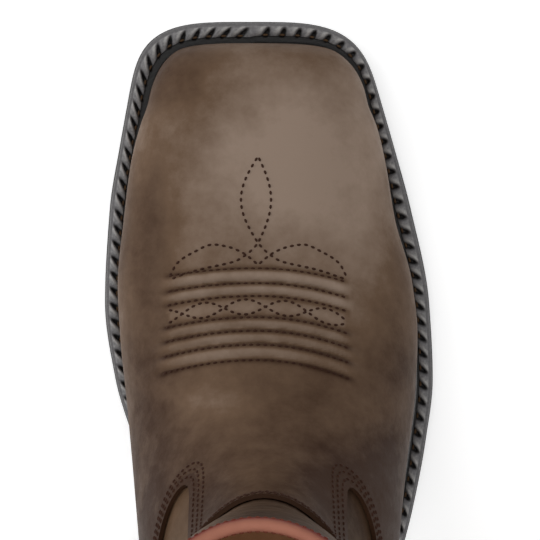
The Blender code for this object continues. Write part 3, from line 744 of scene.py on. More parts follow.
def ankle_folds(points):
    """How far the shaft's face stands out over its plain surface: soft folds over the ankle, deepest at the
    sides, which run down towards the back. A fold has a height, a depth, a width and a turn of its wave."""
    x, ahead, z = points.T
    rise = np.zeros(len(x))
    for height, deep, wide, turn in FOLDS:
        line = height + FOLD_TILT * (ahead - 90) + FOLD_WAVE * np.sin(ahead / 19 + turn + 0.02 * x)
        away = (z - line) / wide
        uneven = 0.75 + 0.25 * np.sin(ahead / 11 + 2 * turn + np.sign(x))
        rise -= deep * through(FOLD_SHARES, ahead) * uneven * (band(away, 0, 1) - 0.4 * band(away, 1.7, 1))
    return rise


SHAFT_LEATHER = leather("shaft_leather", srgb(82, 63, 47), srgb(112, 88, 70), srgb(48, 33, 23))
LINING_LEATHER = leather("lining_leather", srgb(206, 120, 84), srgb(226, 152, 116), srgb(150, 66, 44),
                         grain=0.3)
shaft_sheet = flat_sheet(WHOLE_PLACES, SHAFT_COLUMNS)
trim(shaft_sheet, under_collar)
lining_sheet = shaft_sheet.copy()
shaft = piece("shaft", thicken(shaft_sheet, -WALL + LINING + LINING_GAP, ankle_folds), SHAFT_LEATHER,
              ("upper",))
paint(shaft, shaft_tone)
lining = piece("lining", thicken(lining_sheet, -WALL, -WALL + LINING), LINING_LEATHER,
               ("upper",))
# The lining is painted darker lower down, as painted shade deep inside the shaft.
paint(lining, lambda x, ahead, z: 0.25 - 0.9 * smooth([120, 245], [1, 0], z))

# Vamp
# One piece of oiled leather 1.5 mm thick over the foot, from one side seam to the other, with wings that run
# up to the ankle and a tongue up the shaft's front. It is sewn to the shaft round its top edge, and seven
# rows across the break of the foot are sewn over cords, which raises ridges between them.
VAMP_GAP, OVERLAY_OUT = 0.4, 1.9
SEAM_GAP, SEAM_FOOT, SEAM_TOP = 0.6, 101.0, 92.0
WING_LINE = [(SEAM_TOP, 89.5), (105, 92.5), (120, 97.5), (133, 102.3), (143, 105.8), (151, 108.6), (158, 111)]
TONGUE_LINE = [(96, 34), (104, 27), (110, 25), (118, 24.3), (130, 24.3), (142, 24.6), (149, 25.2)]
TONGUE_LINE += [(156, 25.4)]
TONGUE_TOP = [(0, 153.2), (10, 152.8), (20, 151.3), (27, 149.4)]
TONGUE_CENTRE = 0.3
TONGUE_LOW, TONGUE_AHEAD, NO_TONGUE = 96, 108, -9
NOTCH_ROUND = 3.6
CROSSING = 227.4
PATTERN_CENTRE, ROW_CENTRE = 3.7, 4.2
ROWS_BEHIND = [8.6, 13.6, 17.9, 25.0, 29.5, 34.1, 39.2]
ROW_HALF = (30.0, 31.5)
WAVE_HALF = 30
ROW_SAG = {1: (2.7, 4.9), -1: (4.5, 6.6)}
RIDGES = [(0, 1), (1, 2), (3, 4), (4, 5), (5, 6)]
RIDGE_RISE, ROW_SINK = 1.25, 0.45
CREASES = [(0.5, 30, 178, 26, 4), (-0.5, 30, 170, 28, 5), (0.45, -32, 172, 24, 5), (-0.45, -30, 163, 26, 5)]
CREASE_SLANT = 0.2
# Soft spots of painted light on the top and outer side of the toe box, and of painted shade at its inner
# corner and along its front.
TOE_LIGHT_AND_SHADE = [(1.0, -8, 257, 36, 25), (0.5, -20, 232, 22, 26), (-0.8, 33, 284, 13, 15), (-0.3, 2, 297, 60, 7)]
# Soft spots of painted shade low on both sides of the vamp.
SIDE_SHADE = [(-0.8, 42, 215, 10, 40), (-0.5, -44, 200, 11, 44), (-0.5, -36, 150, 20, 36)]
SIDE_SHADE += [(-0.25, 42, 145, 16, 34)]
VAMP_COLUMNS, VAMP_STEPS = 150, (85, 88, 60)
SEWN_FROM, SEWN_TO, VAMP_HIGH = 223, 177, 158


def soft_max(a, b, radius):
    """The larger of two values, rounded off where they are alike."""
    gap = np.clip(1 - np.abs(a - b) / (2 * radius), 0, 1)
    return np.maximum(a, b) + radius / 2 * gap**2


def inside_vamp(points):
    """How far a point lies inside the vamp's back and top edges."""
    x, ahead, z = points.T
    seam = ahead - np.interp(z, [0, WING_LINE[0][1]], [SEAM_FOOT, SEAM_TOP])
    wing = np.minimum(seam, through(WING_LINE, ahead) - z)
    across = np.abs(x - TONGUE_CENTRE)
    on_tongue = (z > TONGUE_LOW) & (ahead > TONGUE_AHEAD)
    side = np.where(on_tongue, through(TONGUE_LINE, z) - across, NO_TONGUE)
    top = through(TONGUE_TOP, across) - z
    return soft_max(wing, -soft_max(-side, -top, NOTCH_ROUND), NOTCH_ROUND)


def row_ahead(row, x):
    """Where a sewn row crosses x, seen from above, and how far out x is as a share of its half width."""
    part = row / (len(ROWS_BEHIND) - 1)
    half = ROW_HALF[0] + (ROW_HALF[1] - ROW_HALF[0]) * part
    out = (x - ROW_CENTRE) / half
    inner, outer = (ROW_SAG[side][0] + (ROW_SAG[side][1] - ROW_SAG[side][0]) * part for side in (1, -1))
    return CROSSING - ROWS_BEHIND[row] - np.where(out > 0, inner, outer) * out**2, np.abs(out)


def wave_middle(x):
    """The line midway between the third and the fourth row, along which the waves run."""
    return (row_ahead(2, x)[0] + row_ahead(3, x)[0]) / 2


def rows_near(x, ahead, wide):
    """1 on a sewn row, falling off over this width and beyond the row's ends."""
    total = 0
    for row in range(len(ROWS_BEHIND)):
        at, out = row_ahead(row, x)
        total = total + band(ahead, at, wide) * smooth([0.98, 1.06], [1, 0], out)
    return total


def soft_spots(table, x, ahead):
    """Soft spots together, each given as a strength, a place (x, ahead), a width and a length."""
    return sum(strength * near(x, ahead, *spot) for strength, *spot in table)


def relief(points):
    """How far the vamp's face stands out over its plain surface: the ridges, and soft creases round them."""
    x, ahead, z = points.T
    rise = np.zeros(len(x))
    for first, second in RIDGES:
        front, out = row_ahead(first, x)
        behind, _ = row_ahead(second, x)
        share = np.clip((front - ahead) / (front - behind), 0, 1)
        rise += RIDGE_RISE * np.sin(math.pi * share) ** 0.8 * smooth([0.9, 1.1], [1, 0], out)
    rise -= ROW_SINK * rows_near(x, ahead, 0.8)
    creases = soft_spots(CREASES, x, ahead + CREASE_SLANT * (z - 75))
    return rise + creases * smooth([42, 78], [0, 1], z)


def vamp_face(points):
    return OVERLAY_OUT + relief(points)


def edge_stain_and_shadow(keep, x, ahead, z):
    """Darker along the cut edge of a piece: partly the edge's own stain and partly painted shadow of the step
    down to the leather beneath.
    """
    return -1.3 * smooth([-0.6, 1.0], [1, 0], keep(np.column_stack([x, ahead, z])))


def vamp_tone(x, ahead, z):
    """Painted light on the toe box and its sides, and painted shade at the corner of the toe, low on the
    sides, across the instep and below.
    """
    tone = 0.12 + soft_spots(TOE_LIGHT_AND_SHADE + SIDE_SHADE, x, ahead)
    # Painted shade across the instep, behind the ball, where the vamp slopes up away from the light.
    tone -= 1.25 * smooth([110, 212], [1, 0], ahead) * smooth([20, 90], [0.1, 1], z)
    tone += 0.25 * np.sin(x / 9 + 1.3 * np.sin(ahead / 17)) * smooth([130, 175, 200], [0, 0.5, 0], ahead)
    # Paler on the ridge crests, partly rubbed wear and partly painted highlight; painted shade along the sewn
    # rows' grooves.
    tone += 0.55 * np.clip(relief(np.column_stack([x, ahead, z])), 0, 1.0) - 0.6 * rows_near(x, ahead, 1.0)
    tone += 0.4 * band(ahead, wave_middle(x), 2.6) * (np.abs(x - ROW_CENTRE) < WAVE_HALF)
    # Painted shadow and stain along the vamp's cut edges.
    return tone + edge_stain_and_shadow(inside_vamp, x, ahead, z)


def vamp_places():
    """Places of the rows of the vamp's mesh, which lie close together across the sewn rows."""
    front = skin(TABLE_PLACES, np.zeros(len(TABLE_PLACES)))
    knots = [0] + [TABLE_PLACES[np.argmax(front[:, 1] < ahead)] for ahead in (SEWN_FROM, SEWN_TO)]
    knots.append(TABLE_PLACES[np.argmax(front[:, 2] > VAMP_HIGH)])
    parts = [np.linspace(a, b, count)[1:] for a, b, count in zip(knots, knots[1:], VAMP_STEPS)]
    return np.concatenate([[0]] + parts)


VAMP_LEATHER = leather("vamp_leather", srgb(96, 76, 60), srgb(139, 121, 107), srgb(52, 34, 23), gloss=0.02)
vamp_sheet = flat_sheet(vamp_places(), VAMP_COLUMNS)
vamp_plan = vamp_sheet.copy()
trim(vamp_sheet, inside_vamp)
vamp = piece("vamp_leather", thicken(vamp_sheet, VAMP_GAP, vamp_face), VAMP_LEATHER,
             ("vamp",), angle=50)
paint(vamp, vamp_tone)

# Sewing on the vamp
# Waxed dark thread, about eleven stitches to the inch. A looped flower stands ahead of the seven rows, two
# waves cross between the third and fourth, and rows follow the edges of the wings and the tongue.
STITCH_PITCH, STITCH_LONG, STITCH_THICK = 2.37, 1.5, 0.95
LOOP_LONG, LOOP_HALF, LOOP_LEAN = 29.5, 5.1, 0.7
ARM = [(0, 0), (2, 2.2), (4, 3.9), (7.6, 6.1), (10.5, 6.9), (20, 9.0), (29.5, 12.2)]
LOBE_LINE = [(0, 7.3), (5, 3.4), (10, 1.3), (15.2, 0.5), (22, 3.2), (27.5, 6.9), (30, 11.5)]
WAVE_LONG, WAVE_HIGH, WAVE_SHIFT = 28.0, 2.5, 3
EDGE_ROWS = (1.4, 2.9)
TONGUE_ROW, TONGUE_ROW_FROM, TONGUE_ROW_HIGH = 4.4, 128, 151
SHORTEST_LINE = 8


def thread(name, colour, pale):
    """Twisted waxed thread."""
    look, make, where = new_look(name)
    fuzz = noise(make, where, 900.0, 3.0)
    set_shader(look, Base_Color=mix(make, fuzz, colour, pale), Roughness=0.8, Specular_IOR_Level=0.1)
    set_shader(look, Normal=bumped(make, fuzz, 0.5, 0.0001))
    return look


def travelled(points):
    """How far along a line each of its points lies."""
    return np.concatenate([[0], np.cumsum(np.linalg.norm(np.diff(points, axis=0), axis=1))])


def sew(name, lines, look, pitch=STITCH_PITCH, long=STITCH_LONG, thick=STITCH_THICK):
    """One piece of stitches along lines, each a pair of arrays: points and outward directions."""
    whole = bmesh.new()
    for points, outward in lines:
        travel = travelled(points)
        count = max(int(travel[-1] / pitch), 1)
        row = bmesh.new()
        for at in (np.arange(count) + 0.5) * travel[-1] / count:
            middle, before, after, up = (
                Vector([np.interp(where, travel, values[:, axis]) for axis in range(3)])
                for where, values in ((at, points), (at - 0.5, points), (at + 0.5, points), (at, outward))
            )
            run = (after - before).normalized()
            across = run.cross(up).normalized()
            turn = Matrix((across, across.cross(run), run)).transposed().to_4x4()
            turn.translation = middle
            size = Matrix.Diagonal((thick, thick, long, 1))
            bmesh.ops.create_uvsphere(row, u_segments=7, v_segments=5, radius=0.5, matrix=turn @ size)
        part = mesh_of("stitch_row", row)
        whole.from_mesh(part)
        bpy.data.meshes.remove(part)
    for vert in whole.verts:
        vert.co = metres(vert.co)
    return piece(name, whole, look, angle=180)


def millimetres(vector):
    return np.array((vector.x / MM, MIDDLE - vector.y / MM, vector.z / MM))


def tree_of(made):
    bm = bmesh.new()
    bm.from_mesh(made.data)
    tree = BVHTree.FromBMesh(bm)
    bm.free()
    return tree


def from_above(tree, x, ahead):
    """A line drawn on a piece seen from above: its points and the outward directions there."""
    points, outward = [], []
    for across, along in zip(x, ahead):
        place, up, _, _ = tree.ray_cast(metres((across, along, 300)), Vector((0, 0, -1)))
        if place:
            points.append(millimetres(place))
            outward.append((up.x, -up.y, up.z))
    return np.array(points), np.array(outward)


def edge_lines(plan, keep, distance, offset, only=None):
    """Lines at a distance inside the edge of the piece that keep cuts from a plan. only chooses points."""
    bm = plan.copy()
    cut = trim(bm, lambda points: keep(points) - distance)
    links = {}
    for edge in bm.edges:
        if edge.is_boundary and edge.verts[0] in cut and edge.verts[1] in cut:
            for vert in edge.verts:
                links.setdefault(vert, []).append(edge)
    lines, used = [], set()
    for start in sorted(links, key=lambda v: len(links[v])):
        if start in used:
            continue
        chain, vert = [], start
        while vert:
            used.add(vert)
            chain.append((vert.co.y, vert.co.x))
            following = [e.other_vert(vert) for e in links[vert]]
            vert = next((v for v in following if v not in used), None)
        places, shares = np.array(chain).T
        points = skin(places, shares, offset(skin(places, shares)) if callable(offset) else offset)
        outward = skin(places, shares, 1.0) - skin(places, shares)
        chosen = np.ones(len(points), bool) if only is None else only(points)
        if chosen.sum() > SHORTEST_LINE:
            lines.append((points[chosen], outward[chosen]))
    bm.free()
    return lines


def flower_lines():
    """The toe flower and the rows behind it, seen from above."""
    lines = []
    share = np.linspace(0, 1, 60)
    for side in (1, -1):
        swell = np.sin(math.pi * share)
        loop = PATTERN_CENTRE + LOOP_LEAN * swell + side * LOOP_HALF * swell
        lines.append((loop, CROSSING + LOOP_LONG * share))
        for table in (ARM, LOBE_LINE):
            out, behind = np.array(table, float).T
            reach = np.linspace(0, out[-1], 80)
            lines.append((PATTERN_CENTRE + side * reach, CROSSING - smooth(out, behind, reach)))
        x = ROW_CENTRE + np.linspace(-WAVE_HALF, WAVE_HALF, 90)
        wave = np.sin(2 * math.pi * (x - ROW_CENTRE + WAVE_SHIFT) / WAVE_LONG)
        lines.append((x, wave_middle(x) + side * WAVE_HIGH * wave))
    for row in range(len(ROWS_BEHIND)):
        half = ROW_HALF[0] + (ROW_HALF[1] - ROW_HALF[0]) * row / (len(ROWS_BEHIND) - 1)
        x = ROW_CENTRE + np.linspace(-half, half, 90)
        lines.append((x, row_ahead(row, x)[0]))
    return lines


def beside_tongue(points):
    return (points[:, 1] > TONGUE_ROW_FROM) & (points[:, 2] < TONGUE_ROW_HIGH)


DARK_THREAD = thread("dark_thread", srgb(42, 25, 18), srgb(62, 40, 30))
vamp_tree = tree_of(vamp)
sew("toe_flower_stitches", [from_above(vamp_tree, x, ahead) for x, ahead in flower_lines()], DARK_THREAD)
wing_lines = [line for row in EDGE_ROWS for line in edge_lines(vamp_plan, inside_vamp, row, vamp_face)]
wing_lines += edge_lines(vamp_plan, inside_vamp, TONGUE_ROW, vamp_face, beside_tongue)
sew("wing_stitches", wing_lines, DARK_THREAD)

# Counter
# The outer leather round the heel, of the same thickness as the vamp, butted to it at the side seams and sewn
# to the shaft along its top.
COUNTER_GAP, COUNTER_COLUMNS = 0.8, 150
COUNTER_AHEAD, COUNTER_UP = 104, 110
COUNTER_LINE = [(0, 116.5), (15, 113), (30, 108), (45, 102.5), (60, 97), (76, 92)]
COUNTER_LINE += [(SEAM_TOP - SEAM_GAP, 88.5)]
COUNTER_PLACES = np.concatenate([np.linspace(place_of(COUNTER_AHEAD), HEEL_PLACE, 70),
                                 np.linspace(HEEL_PLACE, HEEL_PLACE + COUNTER_UP, 70)[1:]])


def inside_counter(points):
    """How far a point lies inside the counter's front and top edges."""
    x, ahead, z = points.T
    seam = np.interp(z, [0, WING_LINE[0][1]], [SEAM_FOOT, SEAM_TOP]) - SEAM_GAP - ahead
    return np.minimum(seam, through(COUNTER_LINE, ahead) - z)


def counter_tone(x, ahead, z):
    """Paler where the heel is knocked, darker at its top."""
    wear_and_rim_shade = -0.1 + 0.4 * band(z, 66, 22) - 0.3 * band(z, 112, 12)
    # Painted shadow and stain along the counter's cut edges.
    return wear_and_rim_shade + edge_stain_and_shadow(inside_counter, x, ahead, z)


COUNTER_LEATHER = leather("counter_leather", srgb(88, 69, 54), srgb(122, 102, 86), srgb(50, 34, 25),
                          gloss=0.02)
counter_sheet = flat_sheet(COUNTER_PLACES, COUNTER_COLUMNS)
counter_plan = counter_sheet.copy()
trim(counter_sheet, inside_counter)
counter = piece("counter_leather", thicken(counter_sheet, COUNTER_GAP, OVERLAY_OUT), COUNTER_LEATHER,
                ("counter",), angle=50)
paint(counter, counter_tone)
counter_lines = []
for row in EDGE_ROWS:
    counter_lines += edge_lines(counter_plan, inside_counter, row, OVERLAY_OUT)
sew("counter_stitches", counter_lines, DARK_THREAD)

# Welt
# A moulded strip round the whole foot, sewn through the outsole with one stitch in each notch of its knurled
# top. From its outer edge in, it has a smooth rim, a row of lobes, a channel and a lip against the upper.
WELT_OUT, WELT_EDGE = 3.2, 0.5
WELT_PITCH = 5.6
LEAST_BULGE, BULGE_FROM, BULGE_TO = 1.0, 30, 277
WELT_IN = 4.6
WELT_ROWS = 640
RIM, LOBE, CHANNEL, LIP = 0.84, 0.3, 0.2, 0.16
RIM_SHARES = [1, 0.98, 0.95, 0.92, 0.88, RIM]
LOBE_SHARES = [0.8, 0.75, 0.7, 0.65, 0.6, 0.56, 0.52, 0.48, 0.44, 0.4, 0.36, 0.33, LOBE]
LIP_SHARES = [0.28, CHANNEL, LIP, 0.12, 0.04, 0]
CHANNEL_DEEP, TOOTH_RISE, NOTCH_DEEP = 1.7, 0.7, 1.9
NOTCH_SLANT, NOTCH_WIDE = 0.45, 0.17
RIM_ROLL_FROM, RIM_ROLL_DOWN = 0.93, 0.9
# Painted shade: near black in the channel between the welt and the upper, and dark at the welt's foot edges
# against the upper and the sole.
CHANNEL_SHADE, FOOT_SHADE = -1.3, -0.9
WELT_THREAD, THREAD_SHARE, THREAD_DOWN = 2.2, 0.07, 0.9


def bulge(ahead, side):
    """How far the overlay reaches out over its foot line within the welt's height."""
    place = float(place_of(min(max(ahead, BULGE_FROM), BULGE_TO)))
    row = skin(np.full(80, place), side * np.linspace(1, 0.6, 80), OVERLAY_OUT)
    low = row[row[:, 2] <= row[0, 2] + WELT_IN + 0.5]
    return max(float(np.max(side * (low[:, 0] - low[0, 0]))), LEAST_BULGE)


def welt_edges():
    """Points of the welt's inner and outer edges, all round, and the travel along its outer one."""
    inner, outer = [], []
    knots = np.linspace(SOLE_BACK, SOLE_TIP, 60)
    places = stations(WELT_ROWS)
    for side, run in ((1, places), (-1, places[-2:0:-1])):
        reach = np.interp(run, knots, [bulge(a, side) for a in knots])
        inner.append(np.column_stack(foot_line(run, side, OVERLAY_OUT + GAP + reach)))
        outer.append(np.column_stack(outline(run, side, WELT_EDGE)))
    inner, outer = np.concatenate(inner), np.concatenate(outer)
    return inner, outer, travelled(outer)


def notched(share, travel):
    """How deep the notches cut at a share of the way out: 1 in the middle of one, and 0 between them."""
    out = (share - LOBE) / (RIM - LOBE)
    phase = (travel / WELT_PITCH + NOTCH_SLANT * out) % 1.0 - 0.5
    return band(phase, 0, NOTCH_WIDE * (1.55 - out)) * float(smooth([0.5, 1.0], [1, 0], out))


def lip_share(edge):
    """1 where the lip stands against the upper, at the outer side and round the heel, and 0 round the toe."""
    outer_side = smooth([205, 245], [1, 0], edge[:, 1])
    inner_side = smooth([60, 130], [1, 0], edge[:, 1])
    return np.where(edge[:, 0] < 0, outer_side, inner_side)


def welt_rise(share, travel, lip):
    """Height and tone of the welt's top. share runs from 0 at its inner edge to 1 at its outer one."""
    notch = notched(share, travel)
    swell = math.sin(math.pi * min(max((share - LOBE + 0.07) / (RIM - LOBE + 0.1), 0), 1)) ** 0.6
    tooth = WELT_OUT + TOOTH_RISE * swell - NOTCH_DEEP * notch
    phase = (travel / WELT_PITCH + NOTCH_SLANT * (share - LOBE) / (RIM - LOBE)) % 1.0
    # Painted highlights at the upper ends of the teeth and painted shade in the notches.
    tooth_light_and_shade = 0.1 + 0.9 * swell * band(phase, 0.75, 0.2) - 2.2 * notch
    floor_high = np.full(len(travel), WELT_OUT - CHANNEL_DEEP)
    if share >= RIM:
        # The rim rolls down towards its outer edge and is painted darker there, as shade.
        wear_and_rim_shade = max(share - RIM_ROLL_FROM, 0) / (1 - RIM_ROLL_FROM)
        return WELT_OUT + 0.1 - RIM_ROLL_DOWN * wear_and_rim_shade**2 + 0 * travel, -0.15 - 0.35 * wear_and_rim_shade + 0 * travel
    if share >= LOBE:
        return tooth, tooth_light_and_shade
    if share >= CHANNEL:
        return floor_high, np.full(len(travel), CHANNEL_SHADE)
    lip_high = floor_high + (WELT_IN - WELT_OUT + CHANNEL_DEEP - 0.3) * lip
    return lip_high, CHANNEL_SHADE + 1.5 * lip


def make_welt():
    """The welt's mesh, and its tone at each point."""
    inner, outer, travel = welt_edges()
    travel = travel * round(travel[-1] / WELT_PITCH) * WELT_PITCH / travel[-1]
    lip = lip_share(inner)
    points, tones = [], []
    for edge in (inner, outer):
        points.append(np.column_stack([edge, foot_z(edge[:, 1])]))
        tones.append(np.full(len(edge), FOOT_SHADE))
    for share in RIM_SHARES + LOBE_SHARES + LIP_SHARES:
        flat = inner + (outer - inner) * share
        rise, tone = welt_rise(share, travel, lip)
        points.append(np.column_stack([flat, foot_z(flat[:, 1]) + rise]))
        tones.append(tone)
    return np.stack(points, axis=1), np.stack(tones, axis=1)


def toned_rubber(name, base, pale, dark):
    """Moulded rubber in three shades by its own tone, with fine pebbling."""
    look, make, where = new_look(name)
    painted = make("Attribute", attribute_name="tone").outputs["Fac"]
    specks = noise(make, where, 900.0, 4.0, 0.7)
    total = added(make, painted, spread(make, specks, 0.3, 0.7, -0.25, 0.25))
    colour = three_shades(make, total, base, pale, dark)
    bump = bumped(make, specks, 0.5, 0.0002)
    set_shader(look, Base_Color=colour, Roughness=0.5, Normal=bump, Specular_IOR_Level=0.5)
    return look


WELT_RUBBER = toned_rubber("welt_rubber", srgb(98, 96, 97), srgb(168, 166, 163), srgb(9, 7, 7))
welt_points, welt_tones = make_welt()
piece("welt_strip", surface(welt_points, around=True, along=True, tones=welt_tones), WELT_RUBBER,
      ("welt",), angle=60)


def welt_stitches():
    """A short stitch along the welt at the foot of every notch."""
    inner, outer, travel = welt_edges()
    count = round(travel[-1] / WELT_PITCH)
    lines = []
    for at in (np.arange(count) + 0.5 - NOTCH_SLANT * 0.1) * travel[-1] / count:
        ends = []
        for where in (at - WELT_THREAD / 2, at + WELT_THREAD / 2):
            edge = [np.interp(where, travel, side[:, axis]) for side in (inner, outer) for axis in (0, 1)]
            share = LOBE + THREAD_SHARE
            x, ahead = (edge[axis] * (1 - share) + edge[2 + axis] * share for axis in (0, 1))
            ends.append((x, ahead, foot_z(ahead) + WELT_OUT - THREAD_DOWN))
        lines.append((np.array(ends), np.array([(0, 0, 1), (0, 0, 1)])))
    return lines


WELT_TWINE = thread("welt_thread", srgb(60, 44, 32), srgb(88, 68, 48))
sew("welt_stitches", welt_stitches(), WELT_TWINE, pitch=WELT_THREAD, long=WELT_THREAD,
    thick=0.9)

# Side seams
# A cord covered in shaft leather, laid over each side seam of the shaft, from the vamp's corner to the pull
# strap.
PIPING_FOOT, STRAP_AHEAD, STRAP_LEG = 91.5, 76.0, 42.0
PIPING_HEAD = COLLAR_SIDE - STRAP_LEG - 2
PIPE_HALF, PIPE_HIGH, PIPE_LOW = 1.9, 1.8, 0.35
SEAM_LINE = [(60, 96), (PIPING_FOOT, SEAM_TOP), (140, 84), (200, 78), (COLLAR_SIDE, STRAP_AHEAD)]


def side_x(ahead, z, side, offset=0.0):
    """x of the upper's outside at a place seen from the side."""
    half = TABLE[:, FRONT_SHARE:] if side > 0 else TABLE[:, FRONT_SHARE::-1]
    reach = [row for row in half if row[-1, 1] <= ahead <= row[0, 1]]
    xs = [np.interp(-ahead, -row[:, 1], row[:, 0]) for row in reach]
    zs = [np.interp(-ahead, -row[:, 1], row[:, 2]) for row in reach]
    return float(np.interp(z, zs, xs)) + side * offset


def seam_ahead(z):
    """The side seam in side view."""
    return float(through(SEAM_LINE, z))


def piping(side):
    rings = []
    for z in np.linspace(PIPING_FOOT, PIPING_HEAD, 60):
        ahead = seam_ahead(z)
        ring = []
        for turn in np.linspace(0, math.pi, 11):
            across, out = PIPE_HALF * math.cos(turn), PIPE_LOW + (PIPE_HIGH - PIPE_LOW) * math.sin(turn)
            ring.append((side_x(ahead + across, z, side, out), ahead + across, z))
        rings.append(ring)
    bm = surface(rings, around=True)
    close_ends(bm)
    return bm


for side, word in ((1, "inner"), (-1, "outer")):
    cord = piece("seam_piping_" + word, piping(side), SHAFT_LEATHER, ("piping_" + word,))
    paint(cord, lambda x, ahead, z: 0.1)

# Collar binding
# A strip of tan leather folded over the top of the shaft and sewn through, painted darker towards its outer
# side. It covers the cut edges of the shaft's leather and of the lining.
BEAD = [(-2.1, 0), (2.1, 0), (2.2, 0.5), (2.1, 2.0), (1.8, 3.0), (1.3, 3.7), (0.7, 4.1), (0, BINDING)]
BEAD += [(-out, rise) for out, rise in BEAD[-2:1:-1]]
BEAD_HALF = 2.2
BINDING_ROWS = [(2.15, 1.5), (-1.95, 2.6)]
COLLAR_BACKED, BACKED_FROM, BACKED_TO = 0.8, 125.0, 140.0
STRETCH_FROM = float(PLACES[STANDING + 3])
COLLAR_POINTS = 240


def collar_places(shares):
    """For each share, the place where the upper's outside meets the foot of the binding."""
    places = np.linspace(STRETCH_FROM, TABLE_PLACES[-1], 150)
    grid = skin(places[:, None], shares[None, :])
    above = grid[:, :, 2] - (collar_z(grid[:, :, 1]) - BINDING)
    return np.array([np.interp(0, above[:, i], places) for i in range(len(shares))])


def collar_middle():
    """Points under the middle of the wall's top edge, all round, and the level directions outwards there."""
    shares = np.linspace(-1, 1, COLLAR_POINTS + 1)[:-1]
    places = collar_places(shares)
    middle = skin(places, shares, -WALL / 2)
    outward = skin(places, shares, WALL) - middle
    outward[:, 2] = 0
    outward /= np.linalg.norm(outward, axis=1, keepdims=True)
    middle[:, 2] = collar_z(middle[:, 1]) - BINDING
    middle[:, 1] -= COLLAR_BACKED * smooth([BACKED_FROM, BACKED_TO], [0, 1], middle[:, 1])
    return middle, outward


def collar_bead(middle, outward):
    rings = [middle + outward * out + (0, 0, rise) for out, rise in BEAD]
    tones = [[0.5 - 1.9 * max(out / BEAD_HALF, 0) ** 3 for out, _ in BEAD]]
    return surface(np.stack(rings, axis=1), around=True, along=True, tones=tones)


def binding_row(middle, outward, out, rise):
    """A line of stitches round the binding, at this distance out from the wall's middle and this rise."""
    points = middle + outward * out + (0, 0, rise)
    facing = outward * math.copysign(1, out)
    return np.concatenate([points, points[:1]]), np.concatenate([facing, facing[:1]])


BINDING_LEATHER = leather("binding_leather", srgb(126, 80, 67), srgb(148, 98, 81), srgb(92, 30, 25),
                          grain=0.3)
COLLAR = collar_middle()
piece("collar_binding_strip", collar_bead(*COLLAR), BINDING_LEATHER, ("collar_binding",),
      angle=70)
BINDING_THREAD = thread("binding_thread", srgb(74, 34, 26), srgb(104, 56, 42))
binding_lines = [binding_row(*COLLAR, *row) for row in BINDING_ROWS]
sew("collar_stitches", binding_lines, BINDING_THREAD, thick=0.8)

# Pull straps
# A doubled strap at each side, of the counter's leather, looped over the collar. Two rows of stitches fix its
# outer leg to the shaft.
STRAP_WIDTH, STRAP_THICK = 27.0, 2.2
STRAP_PATH = [(2.8, -STRAP_LEG), (3.0, -20), (3.7, -5), (4.2, 1), (5.9, 6.5), (6.1, 12), (4.4, 17), (0, 19.4)]
STRAP_PATH += [(-out, rise) for out, rise in STRAP_PATH[-2::-1]]
STRAP_ACROSS = (-0.5, -0.25, 0, 0.25, 0.5)
STRAP_EDGE = [(0.5, width) for width in STRAP_ACROSS] + [(-0.5, width) for width in STRAP_ACROSS[::-1]]
STRAP_ROWS, STRAP_SEWN_TO = (2.2, 4.0), 8


def strap_path():
    path = np.array(STRAP_PATH, float)
    travel = travelled(path)
    even = np.linspace(0, travel[-1], 90)
    return np.column_stack([smooth(travel, path[:, axis], even) for axis in (0, 1)])


def pull_strap(side):
    path = strap_path()
    along = np.gradient(path, axis=0)
    along /= np.linalg.norm(along, axis=1, keepdims=True)
    across = [STRAP_AHEAD + STRAP_WIDTH * width for width in STRAP_ACROSS]
    rings = []
    for (out, rise), (run_out, run_rise) in zip(path, along):
        z = COLLAR_SIDE + rise
        walls = [side_x(ahead, min(z, COLLAR_SIDE), side, -WALL / 2) for ahead in across]
        ring = []
        for face, width in STRAP_EDGE:
            ahead = STRAP_AHEAD + STRAP_WIDTH * width
            thick = STRAP_THICK * face
            wall = walls[round((width + 0.5) * 4)]
            ring.append((wall + side * (out + run_rise * thick), ahead, z - run_out * thick))
        rings.append(ring)
    bm = surface(rings, around=True)
    close_ends(bm)
    return bm


def strap_out(z):
    """How far the middle of the strap's outer leg stands out from the shaft at a height."""
    leg = np.array(STRAP_PATH[:4], float)
    return float(np.interp(z - COLLAR_SIDE, leg[:, 1], leg[:, 0])) - WALL / 2


def strap_box(side):
    """Two rows of stitches round the outer leg of a strap, which hold it to the shaft."""
    lines = []
    for inside in STRAP_ROWS:
        half = STRAP_WIDTH / 2 - inside
        low, high = COLLAR_SIDE - STRAP_LEG + inside, COLLAR_SIDE - STRAP_SEWN_TO
        corners = [(-half, high), (-half, low), (half, low), (half, high)]
        for (a, z0), (b, z1) in zip(corners, corners[1:]):
            share = np.linspace(0, 1, 14)
            ahead, z = STRAP_AHEAD + a + (b - a) * share, z0 + (z1 - z0) * share
            out = [side_x(u, v, side, 0) + side * (strap_out(v) + STRAP_THICK / 2) for u, v in zip(ahead, z)]
            lines.append((np.column_stack([out, ahead, z]), np.tile((side, 0.0, 0.0), (len(share), 1))))
    return lines


for side, word in ((1, "inner"), (-1, "outer")):
    sew("strap_stitches_" + word, strap_box(side), DARK_THREAD)
    strap = piece("pull_strap_loop_" + word, pull_strap(side), COUNTER_LEATHER,
                  ("pull_strap_" + word,))
    paint(strap, lambda x, ahead, z: 0.1)

# Floor, light and camera
# A plain pale floor, one large soft light overhead, soft ones at each side and behind, a narrow one into the
# shaft, and the photograph's view from straight above with the toe at the top.
FLOOR_HALF, FLOOR_DOWN, FLOOR_GLOW = 4.0, 0.0002, 0.4
WORLD_LIGHT = 0.36
CAMERA_AT = (-0.00035, -0.0673, 1.5)
CAMERA_LENS = 282.2


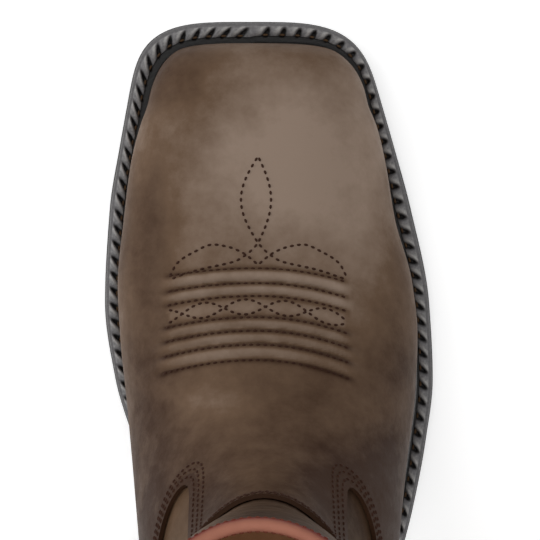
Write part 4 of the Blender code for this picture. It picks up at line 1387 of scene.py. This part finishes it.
def floor():
    bm = bmesh.new()
    bmesh.ops.create_grid(bm, x_segments=1, y_segments=1, size=FLOOR_HALF)
    bmesh.ops.translate(bm, vec=(0, 0, -FLOOR_DOWN), verts=bm.verts)
    made = placed("floor", mesh_of("floor", bm))
    look = bpy.data.materials.new("floor_paper")
    look.use_nodes = True
    set_shader(look, Base_Color=(0.92, 0.92, 0.92, 1), Roughness=0.9, Specular_IOR_Level=0.1)
    set_shader(look, Emission_Color=(1, 1, 1, 1), Emission_Strength=FLOOR_GLOW)
    made.data.materials.append(look)


def lamp(kind, name, place, target, power):
    """A light that faces its target. Returns what it is set by."""
    data = bpy.data.lights.new(name, kind)
    data.energy = power
    made = placed(name, data)
    made.location = place
    made.rotation_euler = (Vector(target) - Vector(place)).to_track_quat("-Z", "Y").to_euler()
    return data


def light(name, place, target, size, power):
    data = lamp("AREA", name, place, target, power)
    data.shape = "RECTANGLE"
    data.size, data.size_y = size


def spot(name, place, target, opening, power):
    """A narrow soft spot. Its opening is in degrees."""
    data = lamp("SPOT", name, place, target, power)
    data.spot_size = math.radians(opening)
    data.spot_blend = 0.8
    data.shadow_soft_size = 0.02


floor()
light("overhead", (0.15, -0.35, 1.9), (0, -0.05, 0.1), (1.3, 1.3), 15)
light("inner_side", (1.3, -0.25, 0.5), (0, -0.05, 0.08), (1.2, 0.6), 9)
light("outer_side", (-1.3, -0.1, 0.8), (0, 0, 0.1), (1.0, 0.8), 2)
light("behind", (-0.2, 1.4, 0.9), (0, 0.05, 0.15), (1.2, 0.8), 4)
spot("into_the_shaft", (0.0, 0.065, 1.3), (0.0, 0.04, 0.03), 5.2, 24)
world = bpy.data.worlds.new("studio")
world.use_nodes = True
world.node_tree.nodes["Background"].inputs["Color"].default_value = (1, 1, 1, 1)
world.node_tree.nodes["Background"].inputs["Strength"].default_value = WORLD_LIGHT
bpy.context.scene.world = world
bpy.context.scene.view_settings.view_transform = "Standard"
camera_data = bpy.data.cameras.new("camera")
camera_data.lens = CAMERA_LENS
camera_data.sensor_width = 36.0
camera_data.clip_end = 50.0
camera = placed("camera", camera_data)
camera.location = CAMERA_AT
camera.rotation_euler = (0, 0, math.pi)
bpy.context.scene.camera = camera
